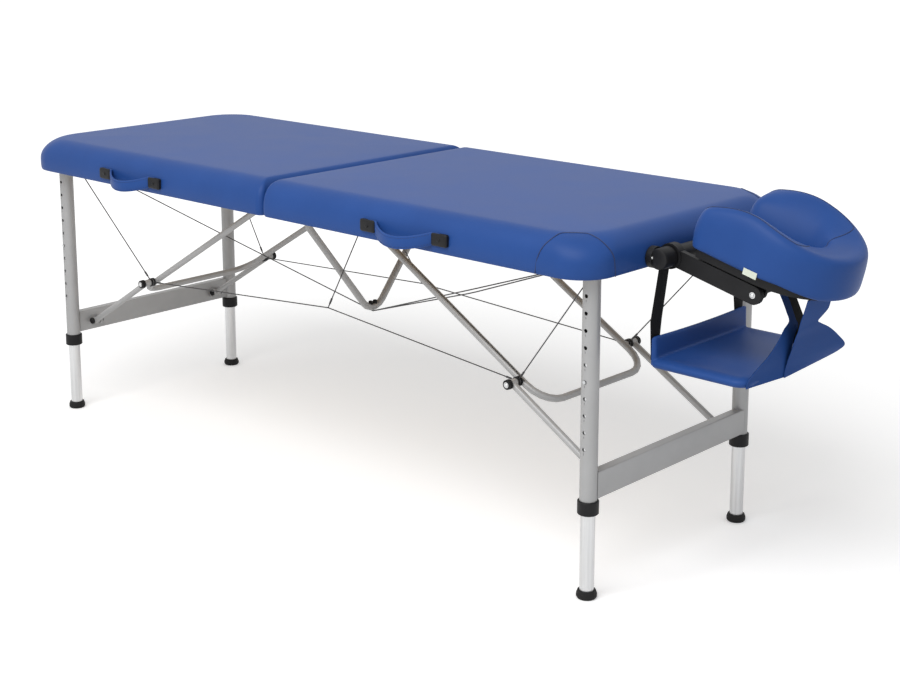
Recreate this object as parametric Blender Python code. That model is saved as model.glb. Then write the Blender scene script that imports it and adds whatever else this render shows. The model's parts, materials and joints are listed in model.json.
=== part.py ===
"""Portable folding massage table: two padded halves on telescopic legs, with cables and a headrest.

Metres, +Z up. X runs along the table with the headrest at +X, Y runs across it with the carrying
straps at -Y, and the floor is at Z = 0. Paired pieces are drawn for the head end and the +Y side,
then mirrored to their own place.
"""
import math

import bmesh
import bpy
from mathutils import Matrix, Vector

# Driving dimensions
ORIGIN = (-0.18249, 0.02140, 0.0)   # puts the middle of the whole part over the origin
HALF_LENGTH = 0.930
HALF_WIDTH = 0.350
TOP = 0.750
UNDERSIDE = 0.6655
FIT = 0.0003                # gap between pieces that touch
SEAM = 0.0015               # half the gap between the two halves
CUT_REACH = 0.030           # how far a cutting tool reaches past the metal
PIN_PROUD = 0.002
CORNER = 0.080              # plan radius at the outer corners
SEAM_CORNER = 0.016         # plan radius beside the folding line
LEAST_CORNER = 0.004

# Upholstery and carcass of one half
COVER_BOTTOM = 0.7103
SKIRT_THICK = 0.013
BOARD_LOW = 0.7043
BOARD_INSET = 0.0140
RAIL_INSET = 0.0136
RAIL_THICK = 0.015
RAIL_TOP = 0.7040
SHOULDER_LOW = 0.702        # the sides start to draw in at this height
SHOULDER_HIGH = 0.7482
SHOULDER_IN = 0.036
SHOULDER_STEPS = 6
SEAM_SHARE = 0.5            # draw-in beside the folding line, as a share of the draw-in elsewhere
CROWN = ((0.060, 0.7488), (0.110, 0.7495), (0.180, TOP))
COVER_ROLL = 0.004          # round at the lower edges of the covers
SKIRT_ROLL = 0.006
CHEEK_X = (0.866, 0.905)
CHEEK_Z = (0.664, 0.700)
CHEEK_ROUND = 0.008
POST_CUT_X = (0.880, 0.960)

# Folding line
HINGE_X = 0.012
HINGE_Z = 0.656
HINGE_PIN = 0.003
HINGE_HOLE = 0.0036
PLATE_Y = 0.1905
PLATE_THICK = 0.004
PLATE_CORNERS = ((0.004, 0.648, 0.005), (0.035, 0.648, 0.006), (0.046, 0.668, 0.006), (0.112, 0.676, 0.008),
                 (0.112, 0.7037, 0.006), (0.0305, 0.7037, 0), (0.0305, 0.665, 0), (0.004, 0.665, 0.002))
LINK_Y = 0.195
LINK_THICK = 0.008
LINK_RADIUS = 0.0075
BOW_Y = 0.2085
BOW_RADIUS = 0.0085
BOW_TOP_Z = 0.660
BOW_BEND_Z = 0.622
BOW_BEND_RADIUS = 0.030
BOW_CORNER_Z = 0.364
BOW_BOTTOM_RADIUS = 0.040

# Legs
LEG_X = 0.880
LEG_Y = 0.271
LEG_PIVOT_Z = 0.675
LEG_RADIUS = 0.018
LEG_BORE = 0.0165
LEG_LOW = 0.186
LEG_HIGH = 0.683
PIN = 0.004
PIN_HOLE = 0.0046
HOLE_TOP_Z = 0.625
HOLE_PITCH = 0.0345
HOLE_COUNT = 10
HOLE_RADIUS = 0.0042
INNER_RADIUS = 0.015
INNER_BORE = 0.0135
INNER_LOW = 0.012
INNER_HIGH = 0.500
BUTTON_Z = HOLE_TOP_Z - 5 * HOLE_PITCH
BUTTON_RADIUS = 0.0037
BUTTON_PROUD = 0.0025
BUTTON_START = 0.0082
CLIP = ((-0.0118, 0.428), (-0.0005, 0.480), (0.0120, 0.443))   # across the leg, and height
CLIP_BEND = 0.003
CLIP_WIDTH = 0.006
CLIP_THICK = 0.0008
COLLAR_RADIUS = 0.022
COLLAR_EDGE = 0.0015
COLLAR_LOW = 0.178
COLLAR_HIGH = 0.2065
STOP_GAP = 0.0005
FOOT = ((0.019, 0.0), (0.0215, 0.004), (0.0215, 0.009), (0.0185, 0.017))
CHEEK_THICK = 0.003
CHEEK_GAP = 0.0015
BAR_LOW = 0.209
BAR_HIGH = 0.265
BAR_X = (0.873, 0.897)
BAR_EDGE = 0.003
BAR_TUCK = 0.009            # the bar's ends stop this far short of the legs' middle
LUG_Y = (0.194, 0.2005)
LUG_PIN_Y = (0.197, 0.222)
LUG_HALF = (0.010, 0.013)
LUG_ROUND = 0.008
LUG_ROOT_X = 0.878

# Braces: brace pivot A, knee B and strut pivot C, each as X and Z
A = (0.100, 0.693)
B = (0.628, 0.378)
C = (0.863, 0.235)
BRACE_Y = 0.180
BRACE_RADIUS = 0.008
BRACE_REACH = 0.690
BRACE_BEND = 0.060
BRACE_START = 0.006
BRACE_EYE_Y = (0.172, 0.1885)
BRACE_EYE_CUT_Y = (0.160, 0.195)
BRACE_EYE = 0.0098
BRACE_PIN_REACH = 0.010
SPACER_END_Y = 0.2005
SPACER_RADIUS = 0.0085
STRUT_Y = 0.210
STRUT_RADIUS = 0.0075
EYE_RADIUS = 0.0092
EYE_HALF = 0.008
BOLT_RADIUS = 0.0075

# Cables
CABLE_RADIUS = 0.001
SIDE_CABLE_Y = 0.1945
RIDGE_CABLE_Y = 0.1905
RIDGE_NODE = (0.160, 0.419)
RIDGE_STRAND_X = BOW_RADIUS + CABLE_RADIUS + 0.001   # the two strands pass either side of the bow
RIDGE_TOP = (0.008, 0.658)
RIDGE_ROUND = (0.012, 0.003)
KNEE_CLEAR = 0.0095
SIDE_ANCHOR = (0.872, 0.672)
BOW_ANCHOR = (0.869, 0.684)
BOW_CABLE_RISE = 0.0135
BOW_CABLE_ROUND = 0.004

# Headrest: its slope is turned about the cross tube
HUB_X = 0.957
HUB_Z = 0.688
SLOPE = math.radians(14)
POST_Y = 0.150
POST_RADIUS = 0.0095
POST_HOLE = 0.0100
POST_X = (0.830, 0.940)
DISC_X = (0.9315, 0.945)
DISC_RADIUS = 0.022
CROSS_RADIUS = 0.018
CROSS_HALF = 0.166
KNUCKLE_RADIUS = 0.026
KNUCKLE_BORE = 0.0188
KNUCKLE_HALF = 0.010
ARM_Y = 0.116
ARM_THICK = 0.012
ARM_LENGTH = 0.211
ARM_HALF = 0.018
ARM_ROUND = 0.016
ROD_REACH = 0.193
ROD_RADIUS = 0.005
ROD_HOLE = 0.0057
PAD_ARM = 0.095             # half the distance between the two limbs of the face cushion
PAD_CENTRE = 0.187
PAD_START = 0.030
PAD_HALF = 0.045
PAD_LOW = 0.0415
PAD_HIGH = 0.104            # height at the far end
PAD_ARCH = 0.042            # extra height at the top of each limb's arch
PAD_ARCH_AT = 0.152
PAD_ARCH_REACH = 0.118
PAD_END_ROUND = 0.034
PAD_END_HEIGHT = 0.45       # share of the height that the round ends keep
# Section of the cushion in shares of its width and height: on a limb, then at the far end
PAD_LIMB = ((-0.88, 0.0), (0.90, 0.0), (1.00, 0.09), (1.00, 0.32), (0.96, 0.56), (0.87, 0.78), (0.72, 0.93),
            (0.48, 1.0), (0.20, 0.965), (-0.12, 0.86), (-0.45, 0.70), (-0.70, 0.52), (-0.88, 0.32),
            (-0.97, 0.12))
PAD_END = ((-0.88, 0.0), (0.90, 0.0), (1.00, 0.10), (1.00, 0.38), (1.00, 0.64), (0.96, 0.82), (0.86, 0.94),
           (0.62, 1.0), (0.20, 1.0), (-0.25, 1.0), (-0.62, 0.985), (-0.80, 0.90), (-0.93, 0.66),
           (-0.97, 0.30))
PLATFORM_LOW = 0.022
PLATFORM_HIGH = 0.040
PLATFORM_HALF = 0.030
PLATFORM_START = 0.055
PIVOT_LUG_Y = (0.088, 0.096)
PIVOT_LUG_HALF = (0.011, 0.014)
PIVOT_LUG_TOP = 0.030
PIVOT_LUG_ROUND = 0.010
LEVER_REACH = 0.050
LEVER_GAP = 0.0015
LEVER_THICK = 0.006
# Outline of the lever: reach, half height and rounding
LEVER_SHAPE = ((-0.013, 0.010, 0.009), (0.020, 0.010, 0.010), (0.078, 0.005, 0.004))

# Forearm shelf
SHELF_X = (0.9455, 1.165)
SHELF_HALF = 0.170
SHELF_LOW = 0.468
SHELF_HIGH = 0.488
SHELF_ROUND = (0.012, 0.030)
SHELF_EDGE = ((0.006, 0.0), (0.001, 0.004), (0.0, 0.010), (0.002, 0.015), (0.008, 0.019), (0.020, 0.020))
LIP_HIGH = 0.532
LIP_THICK = 0.012
LIP_ROUND = 0.005
LIP_START = 0.006
LIP_INSET = 0.0005
STRAP = ((0.955, 0.140, HUB_Z - CROSS_RADIUS - 0.0006), (0.9438, 0.147, 0.560), (0.9438, 0.150, 0.482))
STRAP_BEND = 0.060
STRAP_WIDTHS = (0.026, 0.037, 0.020)
STRAP_THICK = 0.002
SLING_THICK = 0.0024
SLING_STEPS = 5
SLING_WIDTHS = (0.140, 0.140, 0.052, 0.042)
SLING_OFF = 0.003           # from the shelf's outer edge
SLING_HEM = 0.004
SLING_FAR_Y = (0.066, 0.064, -0.012, -0.063)
SLING_FAR_NECK = (1.200, 0.562)
SLING_FAR_TOP = 0.283
SLING_NEAR_Y = (-0.094, -0.092, -0.042, -0.012)
SLING_NEAR_NECK = (1.176, 0.562)
SLING_CLEAR = 0.0021

# Carrying straps: X of both end plates and their height, for each half
HANDLES = {"left": (-0.580, -0.383, 0.694), "right": (0.351, 0.557, 0.697)}
HANDLE_BULGE = 0.036
HANDLE_DROOP = 0.024
HANDLE_WIDTH = 0.027
HANDLE_THICK = 0.005
HANDLE_OFF = 0.0040
HANDLE_STEPS = 14
END_PLATE = (0.0215, 0.013)
END_PLATE_ROUND = 0.004
END_PLATE_THICK = 0.0065

ENDS = {"left": -1, "right": 1}
SIDES = {"front": -1, "back": 1}
ROUND = 16                  # facets of legs and rods
HOLE_ROUND = 8
EYE_ROUND = 12
SMOOTH_ANGLE = math.radians(40)

FINISHES = {
    "vinyl": ((0.030, 0.095, 0.330), 0.45, 0.0),
    "wood": ((0.480, 0.330, 0.180), 0.60, 0.0),
    "paint": ((0.420, 0.430, 0.440), 0.40, 0.6),
    "aluminium": ((0.780, 0.790, 0.800), 0.25, 1.0),
    "steel": ((0.550, 0.560, 0.570), 0.35, 1.0),
    "plastic": ((0.015, 0.015, 0.016), 0.50, 0.0),
    "rubber": ((0.012, 0.012, 0.012), 0.70, 0.0),
    "webbing": ((0.013, 0.013, 0.014), 0.80, 0.0),
    "cable": ((0.060, 0.060, 0.065), 0.40, 0.8),
}

pivots = {}
bodies = {}


# Shapes
def fillet(before, corner, after, radius, steps):
    """Points on the arc that rounds a corner between two straight runs."""
    back = (before - corner).normalized()
    ahead = (after - corner).normalized()
    half = back.angle(ahead) / 2
    reach = radius / math.tan(half)
    centre = corner + (back + ahead).normalized() * radius / math.sin(half)
    start = corner + back * reach - centre
    end = corner + ahead * reach - centre
    turn = math.pi - 2 * half
    points = []
    for step in range(steps + 1):
        part = step / steps
        swing = start * math.sin((1 - part) * turn) + end * math.sin(part * turn)
        points.append(centre + swing / math.sin(turn))
    return points


def rounded(corners, radii, steps=4, closed=True):
    """An outline or a path through corners, each rounded by its own radius."""
    corners = [Vector(corner) for corner in corners]
    count = len(corners)
    points = []
    for index, corner in enumerate(corners):
        ends_here = not closed and index in (0, count - 1)
        if ends_here or radii[index] == 0:
            points.append(corner)
        else:
            points += fillet(corners[index - 1], corner, corners[(index + 1) % count], radii[index], steps)
    return points


def loft(rings, loop=False):
    """A skin through rings of points, capped at both ends or closed on itself."""
    bm = bmesh.new()
    loops = [[bm.verts.new(point) for point in ring] for ring in rings]
    pairs = list(zip(loops, loops[1:]))
    if loop:
        pairs.append((loops[-1], loops[0]))
    else:
        bm.faces.new(loops[0])
        bm.faces.new(loops[-1])
    for low, high in pairs:
        for index in range(len(low)):
            after = (index + 1) % len(low)
            bm.faces.new((low[index], low[after], high[after], high[index]))
    bmesh.ops.recalc_face_normals(bm, faces=bm.faces)
    return bm


def lathe(profile, x=0.0, y=0.0, sides=ROUND, loop=False):
    """A profile of radius and height turned about a vertical axis."""
    rings = []
    for radius, height in profile:
        ring = []
        for side in range(sides):
            angle = 2 * math.pi * side / sides
            ring.append((x + radius * math.cos(angle), y + radius * math.sin(angle), height))
        rings.append(ring)
    return loft(rings, loop)


def prism(outline, start, end):
    """An outline carried from one offset to another."""
    return loft([[Vector(point) + Vector(offset) for point in outline] for offset in (start, end)])


def sweep_frames(path, side):
    """Direction, side and normal at each point of a path."""
    frames = []
    for index, point in enumerate(path):
        before = path[max(index - 1, 0)]
        after = path[min(index + 1, len(path) - 1)]
        along = (after - before).normalized()
        across = (side - along * side.dot(along)).normalized()
        frames.append((point, across, along.cross(across)))
    return frames


def tube(path, radius, side, sides=10):
    """A round bar along a path; side is any direction that the path never follows."""
    path = [Vector(point) for point in path]
    rings = []
    for point, across, normal in sweep_frames(path, Vector(side)):
        ring = []
        for index in range(sides):
            angle = 2 * math.pi * index / sides
            ring.append(point + across * radius * math.cos(angle) + normal * radius * math.sin(angle))
        rings.append(ring)
    return loft(rings)


def band(path, side, widths, thick):
    """A flat strap along a path, with its width at each point laid in the direction of side."""
    path = [Vector(point) for point in path]
    rings = []
    for (point, across, normal), width in zip(sweep_frames(path, Vector(side)), widths):
        wide = across * width / 2
        deep = normal * thick / 2
        rings.append([point - wide - deep, point + wide - deep, point + wide + deep, point - wide + deep])
    return loft(rings)


def rod(start, end, radius, sides=ROUND):
    """A straight cylinder between two points."""
    start = Vector(start)
    along = Vector(end) - start
    bm = bmesh.new()
    turn = along.to_track_quat("Z", "Y").to_matrix().to_4x4()
    place_at = Matrix.Translation(start + along / 2) @ turn
    bmesh.ops.create_cone(bm, cap_ends=True, segments=sides, radius1=radius, radius2=radius,
                          depth=along.length, matrix=place_at)
    return bm


def pin(x, z, y_start, y_end, radius, sides=HOLE_ROUND):
    """A cylinder that lies across the table."""
    return rod((x, y_start, z), (x, y_end, z), radius, sides)


def as_object(bm, name):
    """A mesh object from a shape, in the scene."""
    mesh = bpy.data.meshes.new(name)
    bm.to_mesh(mesh)
    bm.free()
    obj = bpy.data.objects.new(name, mesh)
    bpy.context.collection.objects.link(obj)
    return obj


def combine(base, tools, operation):
    """The base joined with the tools, or cut by them."""
    target = as_object(base, "base")
    others = [as_object(tool, "tool") for tool in tools]
    for other in others:
        step = target.modifiers.new(operation, "BOOLEAN")
        step.operation = operation
        step.solver = "EXACT"
        step.object = other
    result = bmesh.new()
    result.from_object(target, bpy.context.evaluated_depsgraph_get())
    for obj in [target] + others:
        bpy.data.objects.remove(obj)
    return result


def fuse(base, *tools):
    return combine(base, tools, "UNION")


def cut(base, *tools):
    return combine(base, tools, "DIFFERENCE")


# Scene
def material(name, finish):
    """One piece's own material."""
    colour, roughness, metallic = FINISHES[finish]
    made = bpy.data.materials.new(name + "_" + finish)
    made.use_nodes = True
    shader = made.node_tree.nodes["Principled BSDF"]
    shader.inputs["Base Color"].default_value = (*colour, 1.0)
    shader.inputs["Roughness"].default_value = roughness
    shader.inputs["Metallic"].default_value = metallic
    return made


def body(name, pivot, parent=None):
    """An empty on a moving group's axis."""
    holder = bpy.data.objects.new(name, None)
    bpy.context.collection.objects.link(holder)
    pivots[name] = Vector(pivot)
    bodies[name] = holder
    if parent:
        holder.parent = bodies[parent]
        holder.location = pivots[name] - pivots[parent]
    else:
        holder.location = pivots[name] + Vector(ORIGIN)


def place(name, shape, group, finish, sx=1, sy=1):
    """Make a node of a shape, mirrored to its own end and side, on its group's empty."""
    bmesh.ops.scale(shape, vec=(sx, sy, 1), verts=shape.verts)
    if sx * sy < 0:
        bmesh.ops.reverse_faces(shape, faces=shape.faces)
    bmesh.ops.translate(shape, vec=-pivots[group], verts=shape.verts)
    obj = as_object(shape, name)
    obj.parent = bodies[group]
    obj.data.materials.append(material(name, finish))
    obj.data.shade_smooth()
    obj.data.set_sharp_from_angle(angle=SMOOTH_ANGLE)


# The two halves of the top
def plan(inset, height, seam_inset=None):
    """The outline of the head half, drawn in from its edge."""
    if seam_inset is None:
        seam_inset = inset
    near = SEAM + seam_inset
    far = HALF_LENGTH - inset
    half = HALF_WIDTH - inset
    outer = max(CORNER - inset, LEAST_CORNER)
    inner = max(SEAM_CORNER - inset, LEAST_CORNER)
    corners = [(near, -half, height), (far, -half, height), (far, half, height), (near, half, height)]
    return rounded(corners, [inner, outer, outer, inner], steps=5)


def draw_in(height):
    """How far the shoulder has drawn in at a height."""
    rise = (height - SHOULDER_LOW) / (SHOULDER_HIGH - SHOULDER_LOW)
    return SHOULDER_IN * (1 - math.sqrt(1 - min(rise, 1.0) ** 2))


def cushion_shape():
    """Crowned top with a round shoulder on all four sides."""
    start = draw_in(COVER_BOTTOM) + COVER_ROLL
    rings = [plan(start, COVER_BOTTOM)]
    low = math.asin((COVER_BOTTOM + COVER_ROLL - SHOULDER_LOW) / (SHOULDER_HIGH - SHOULDER_LOW))
    for step in range(SHOULDER_STEPS + 1):
        angle = low + (math.pi / 2 - low) * step / SHOULDER_STEPS
        inset = SHOULDER_IN * (1 - math.cos(angle))
        height = SHOULDER_LOW + (SHOULDER_HIGH - SHOULDER_LOW) * math.sin(angle)
        rings.append(plan(inset, height, inset * SEAM_SHARE))
    rings += [plan(inset, height, inset * SEAM_SHARE) for inset, height in CROWN]
    return loft(rings)


def skirt_shape():
    """Band round the side, from the underside up to the cushion."""
    top = COVER_BOTTOM - 2 * FIT
    profile = [(draw_in(top), top), (0.0, SHOULDER_LOW), (0.0, UNDERSIDE + SKIRT_ROLL),
               (SKIRT_ROLL / 3, UNDERSIDE + SKIRT_ROLL / 3), (SKIRT_ROLL, UNDERSIDE),
               (SKIRT_THICK, UNDERSIDE), (SKIRT_THICK, top)]
    return loft([plan(inset, height) for inset, height in profile], loop=True)


def board_shape():
    return loft([plan(BOARD_INSET, height) for height in (BOARD_LOW, COVER_BOTTOM - FIT)])


def frame_shape():
    """Ring of rails, with two cheeks and a pivot pin for each leg."""
    inner = RAIL_INSET + RAIL_THICK
    profile = [(RAIL_INSET, RAIL_TOP), (RAIL_INSET, UNDERSIDE), (inner, UNDERSIDE), (inner, RAIL_TOP)]
    ring = loft([plan(inset, height) for inset, height in profile], loop=True)
    extras = []
    cheek_offset = LEG_RADIUS + CHEEK_GAP
    cheek_corners = [(CHEEK_X[0], 0, CHEEK_Z[0]), (CHEEK_X[1], 0, CHEEK_Z[0]),
                     (CHEEK_X[1], 0, CHEEK_Z[1]), (CHEEK_X[0], 0, CHEEK_Z[1])]
    outline = rounded(cheek_corners, [CHEEK_ROUND, 0, 0, CHEEK_ROUND / 2], steps=3)
    for sy in SIDES.values():
        for direction in (-1, 1):
            face = sy * LEG_Y + direction * cheek_offset
            extras.append(prism(outline, (0, face, 0), (0, face + direction * CHEEK_THICK, 0)))
        reach = cheek_offset + CHEEK_THICK + PIN_PROUD
        extras.append(pin(LEG_X, LEG_PIVOT_Z, sy * LEG_Y - reach, sy * LEG_Y + reach, PIN))
    return fuse(ring, *extras)


def post_holes():
    holes = []
    for sy in SIDES.values():
        start = (POST_CUT_X[0], sy * POST_Y, HUB_Z)
        holes.append(rod(start, (POST_CUT_X[1], sy * POST_Y, HUB_Z), POST_HOLE, EYE_ROUND))
    return holes


def handle_shape(near, far, height):
    """Carrying strap that droops between two end plates on the front skirt."""
    face = -HALF_WIDTH - FIT
    path = []
    for step in range(HANDLE_STEPS + 1):
        part = step / HANDLE_STEPS
        bulge = math.sin(math.pi * part)
        x = near + (far - near) * part
        path.append((x, face - HANDLE_OFF - HANDLE_BULGE * bulge, height - HANDLE_DROOP * bulge))
    strap = band(path, (0, 0, 1), [HANDLE_WIDTH] * len(path), HANDLE_THICK)
    long, high = END_PLATE
    plates = []
    for x in (near, far):
        corners = [(x - long, 0, height - high), (x + long, 0, height - high),
                   (x + long, 0, height + high), (x - long, 0, height + high)]
        outline = rounded(corners, [END_PLATE_ROUND] * 4, steps=2)
        plates.append(prism(outline, (0, face - END_PLATE_THICK, 0), (0, face, 0)))
    return fuse(strap, *plates)


# The folding line
def hinge_plate_shape():
    """Flat plate screwed under one half, with its hinge hole and the pin that carries the brace."""
    corners = [(x, 0, z) for x, z, _ in PLATE_CORNERS]
    outline = rounded(corners, [radius for _, _, radius in PLATE_CORNERS], steps=3)
    plate = prism(outline, (0, PLATE_Y, 0), (0, PLATE_Y + PLATE_THICK, 0))
    plate = fuse(plate, pin(A[0], A[1], BRACE_Y - BRACE_PIN_REACH, PLATE_Y + PLATE_THICK / 2, PIN))
    return cut(plate, pin(HINGE_X, HINGE_Z, PLATE_Y - CUT_REACH, PLATE_Y + CUT_REACH, HINGE_HOLE))


def bow_shape():
    """V-shaped tube below the seam, with the link plates and the pins that both halves turn on."""
    path = rounded([(0, BOW_Y, BOW_TOP_Z), (0, BOW_Y, BOW_BEND_Z), (0, 0, BOW_CORNER_Z),
                    (0, -BOW_Y, BOW_BEND_Z), (0, -BOW_Y, BOW_TOP_Z)],
                   [0, BOW_BEND_RADIUS, BOW_BOTTOM_RADIUS, BOW_BEND_RADIUS, 0], steps=5, closed=False)
    bow = tube(path, BOW_RADIUS, (1, 0, 0))
    reach = HINGE_X + LINK_RADIUS
    corners = [(-reach, 0, HINGE_Z - LINK_RADIUS), (reach, 0, HINGE_Z - LINK_RADIUS),
               (reach, 0, HINGE_Z + LINK_RADIUS), (-reach, 0, HINGE_Z + LINK_RADIUS)]
    outline = rounded(corners, [LINK_RADIUS * 0.99] * 4, steps=3)
    extras = []
    for sy in SIDES.values():
        extras.append(prism(outline, (0, sy * LINK_Y, 0), (0, sy * (LINK_Y + LINK_THICK), 0)))
        for sx in ENDS.values():
            start = sy * (PLATE_Y - PIN_PROUD)
            end = sy * (LINK_Y + LINK_THICK / 2)
            extras.append(pin(sx * HINGE_X, HINGE_Z, start, end, HINGE_PIN))
    return fuse(bow, *extras)


# Legs
def leg_tube_shape():
    """Outer tube with its pivot hole and its column of height holes on the outer side."""
    profile = [(LEG_RADIUS, LEG_LOW), (LEG_RADIUS, LEG_HIGH), (LEG_BORE, LEG_HIGH), (LEG_BORE, LEG_LOW)]
    holes = [pin(LEG_X, LEG_PIVOT_Z, LEG_Y - CUT_REACH, LEG_Y + CUT_REACH, PIN_HOLE)]
    for index in range(HOLE_COUNT):
        holes.append(pin(LEG_X, HOLE_TOP_Z - index * HOLE_PITCH, LEG_Y, LEG_Y + CUT_REACH, HOLE_RADIUS))
    return cut(lathe(profile, LEG_X, LEG_Y, loop=True), *holes)


def collar_shape():
    """Stepped ring round the lower end of the outer tube."""
    step = LEG_LOW - STOP_GAP
    edge = COLLAR_RADIUS - COLLAR_EDGE
    profile = [(edge, COLLAR_LOW), (COLLAR_RADIUS, COLLAR_LOW + COLLAR_EDGE),
               (COLLAR_RADIUS, COLLAR_HIGH - COLLAR_EDGE), (edge, COLLAR_HIGH),
               (LEG_RADIUS + FIT, COLLAR_HIGH), (LEG_RADIUS + FIT, step), (INNER_RADIUS + FIT, step),
               (INNER_RADIUS + FIT, COLLAR_LOW)]
    return lathe(profile, LEG_X, LEG_Y, loop=True)


def leg_inner_shape():
    profile = [(INNER_RADIUS, INNER_LOW), (INNER_RADIUS, INNER_HIGH), (INNER_BORE, INNER_HIGH),
               (INNER_BORE, INNER_LOW)]
    hole = pin(LEG_X, BUTTON_Z, LEG_Y, LEG_Y + CUT_REACH, BUTTON_RADIUS + FIT)
    return cut(lathe(profile, LEG_X, LEG_Y, loop=True), hole)


def foot_shape():
    socket = INNER_RADIUS + FIT
    profile = [*FOOT, (socket, FOOT[-1][1]), (socket, INNER_LOW - STOP_GAP)]
    return lathe(profile, LEG_X, LEG_Y)


def button_shape():
    """Bent spring strip inside the inner tube, with the round head that locks in a hole."""
    points = [(LEG_X, LEG_Y + across, height) for across, height in CLIP]
    path = rounded(points, [0, CLIP_BEND, 0], steps=5, closed=False)
    strip = band(path, (1, 0, 0), [CLIP_WIDTH] * len(path), CLIP_THICK)
    end = LEG_Y + LEG_RADIUS + BUTTON_PROUD
    head = pin(LEG_X, BUTTON_Z, LEG_Y + BUTTON_START, end, BUTTON_RADIUS)
    return fuse(strip, head)


def crossbar_shape():
    """Flat rail between two legs, with a lug and pin for each strut."""
    half = LEG_Y - BAR_TUCK
    corners = [(BAR_X[0], 0, BAR_LOW), (BAR_X[1], 0, BAR_LOW),
               (BAR_X[1], 0, BAR_HIGH), (BAR_X[0], 0, BAR_HIGH)]
    bar = prism(rounded(corners, [BAR_EDGE] * 4, steps=2), (0, -half, 0), (0, half, 0))
    tip, root = LUG_HALF
    lug_corners = [(C[0] - tip, 0, C[1] - tip), (LUG_ROOT_X, 0, C[1] - root),
                   (LUG_ROOT_X, 0, C[1] + root), (C[0] - tip, 0, C[1] + tip)]
    lug = rounded(lug_corners, [LUG_ROUND, 0, 0, LUG_ROUND], steps=3)
    extras = []
    saddles = []
    for sy in SIDES.values():
        extras.append(prism(lug, (0, sy * LUG_Y[0], 0), (0, sy * LUG_Y[1], 0)))
        extras.append(pin(C[0], C[1], sy * LUG_PIN_Y[0], sy * LUG_PIN_Y[1], PIN))
        low = (LEG_X, sy * LEG_Y, BAR_LOW - CUT_REACH)
        saddles.append(rod(low, (LEG_X, sy * LEG_Y, BAR_HIGH + CUT_REACH), LEG_RADIUS + FIT))
    return fuse(cut(bar, *saddles), *extras)


# Braces
def brace_shape():
    """U-shaped tube with an eye on each upper end and a spacer at each knee."""
    run = Vector((B[0] - A[0], 0, B[1] - A[1])).normalized()
    start = Vector((A[0], 0, A[1])) + run * BRACE_START
    base = Vector((A[0], 0, A[1])) + run * BRACE_REACH
    across = Vector((0, BRACE_Y, 0))
    path = rounded([start + across, base + across, base - across, start - across],
                   [0, BRACE_BEND, BRACE_BEND, 0], steps=5, closed=False)
    normal = run.cross(Vector((0, 1, 0)))
    extras = []
    holes = []
    for sy in SIDES.values():
        extras.append(pin(A[0], A[1], sy * BRACE_EYE_Y[0], sy * BRACE_EYE_Y[1], BRACE_EYE, EYE_ROUND))
        extras.append(pin(B[0], B[1], sy * BRACE_Y, sy * SPACER_END_Y, SPACER_RADIUS, EYE_ROUND))
        holes.append(pin(A[0], A[1], sy * BRACE_EYE_CUT_Y[0], sy * BRACE_EYE_CUT_Y[1], PIN_HOLE))
    return cut(fuse(tube(path, BRACE_RADIUS, normal), *extras), *holes)


def strut_shape():
    """Rod from the crossbar to the knee, with an eye at each end and the knee's bolt head."""
    low = Vector((C[0], STRUT_Y, C[1]))
    high = Vector((B[0], STRUT_Y, B[1]))
    bar = rod(low, high, STRUT_RADIUS, 10)
    eyes = [pin(x, z, STRUT_Y - EYE_HALF, STRUT_Y + EYE_HALF, EYE_RADIUS, EYE_ROUND) for x, z in (C, B)]
    bolt = pin(B[0], B[1], STRUT_Y + EYE_HALF - PIN_PROUD, STRUT_Y + 2 * EYE_HALF, BOLT_RADIUS)
    hole = pin(C[0], C[1], STRUT_Y - CUT_REACH, STRUT_Y + CUT_REACH, PIN_HOLE)
    return cut(fuse(bar, *eyes, bolt), hole)


# Cables
def cable(name, points, radii, group):
    """A thin steel cable along a path, on its group's empty."""
    path = rounded(points, radii, steps=4, closed=False)
    curve = bpy.data.curves.new(name, "CURVE")
    curve.dimensions = "3D"
    curve.bevel_depth = CABLE_RADIUS
    curve.bevel_resolution = 1
    curve.use_fill_caps = True
    spline = curve.splines.new("POLY")
    spline.points.add(len(path) - 1)
    for spot, point in zip(spline.points, path):
        spot.co = (*(point - pivots[group]), 1.0)
    curve.materials.append(material(name, "cable"))
    obj = bpy.data.objects.new(name, curve)
    bpy.context.collection.objects.link(obj)
    obj.parent = bodies[group]


def knee_towards(x, z):
    """The point beside the knee where a cable that runs towards X, Z ends."""
    toward = Vector((x - B[0], z - B[1])).normalized() * KNEE_CLEAR
    return B[0] + toward.x, B[1] + toward.y


def cables():
    anchor_y = LEG_Y - LEG_RADIUS - CHEEK_GAP - CHEEK_THICK - FIT - CABLE_RADIUS
    anchor = SIDE_ANCHOR
    node_y, node_z = RIDGE_NODE
    for end, sx in ENDS.items():
        for side, sy in SIDES.items():
            x, z = knee_towards(*anchor)
            path = [(sx * anchor[0], sy * anchor_y, anchor[1]), (sx * x, sy * SIDE_CABLE_Y, z)]
            cable("side_cable_" + end + "_" + side, path, [0, 0], end + "_panel")
    for side, sy in SIDES.items():
        x, z = knee_towards(0, node_z)
        head = [(RIDGE_STRAND_X, sy * RIDGE_TOP[0], RIDGE_TOP[1]), (RIDGE_STRAND_X, sy * node_y, node_z),
                (x, sy * RIDGE_CABLE_Y, z)]
        foot = [(-px, py, pz) for px, py, pz in reversed(head)]
        low, high = RIDGE_ROUND
        cable("ridge_cable_" + side, foot + head, [0, low, high, high, low, 0], "hinge_core")
    path = [(-BOW_ANCHOR[0], -anchor_y, BOW_ANCHOR[1]), (0, 0, BOW_CORNER_Z + BOW_CABLE_RISE),
            (BOW_ANCHOR[0], -anchor_y, BOW_ANCHOR[1])]
    cable("bow_cable", path, [0, BOW_CABLE_ROUND, 0], "hinge_core")


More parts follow.
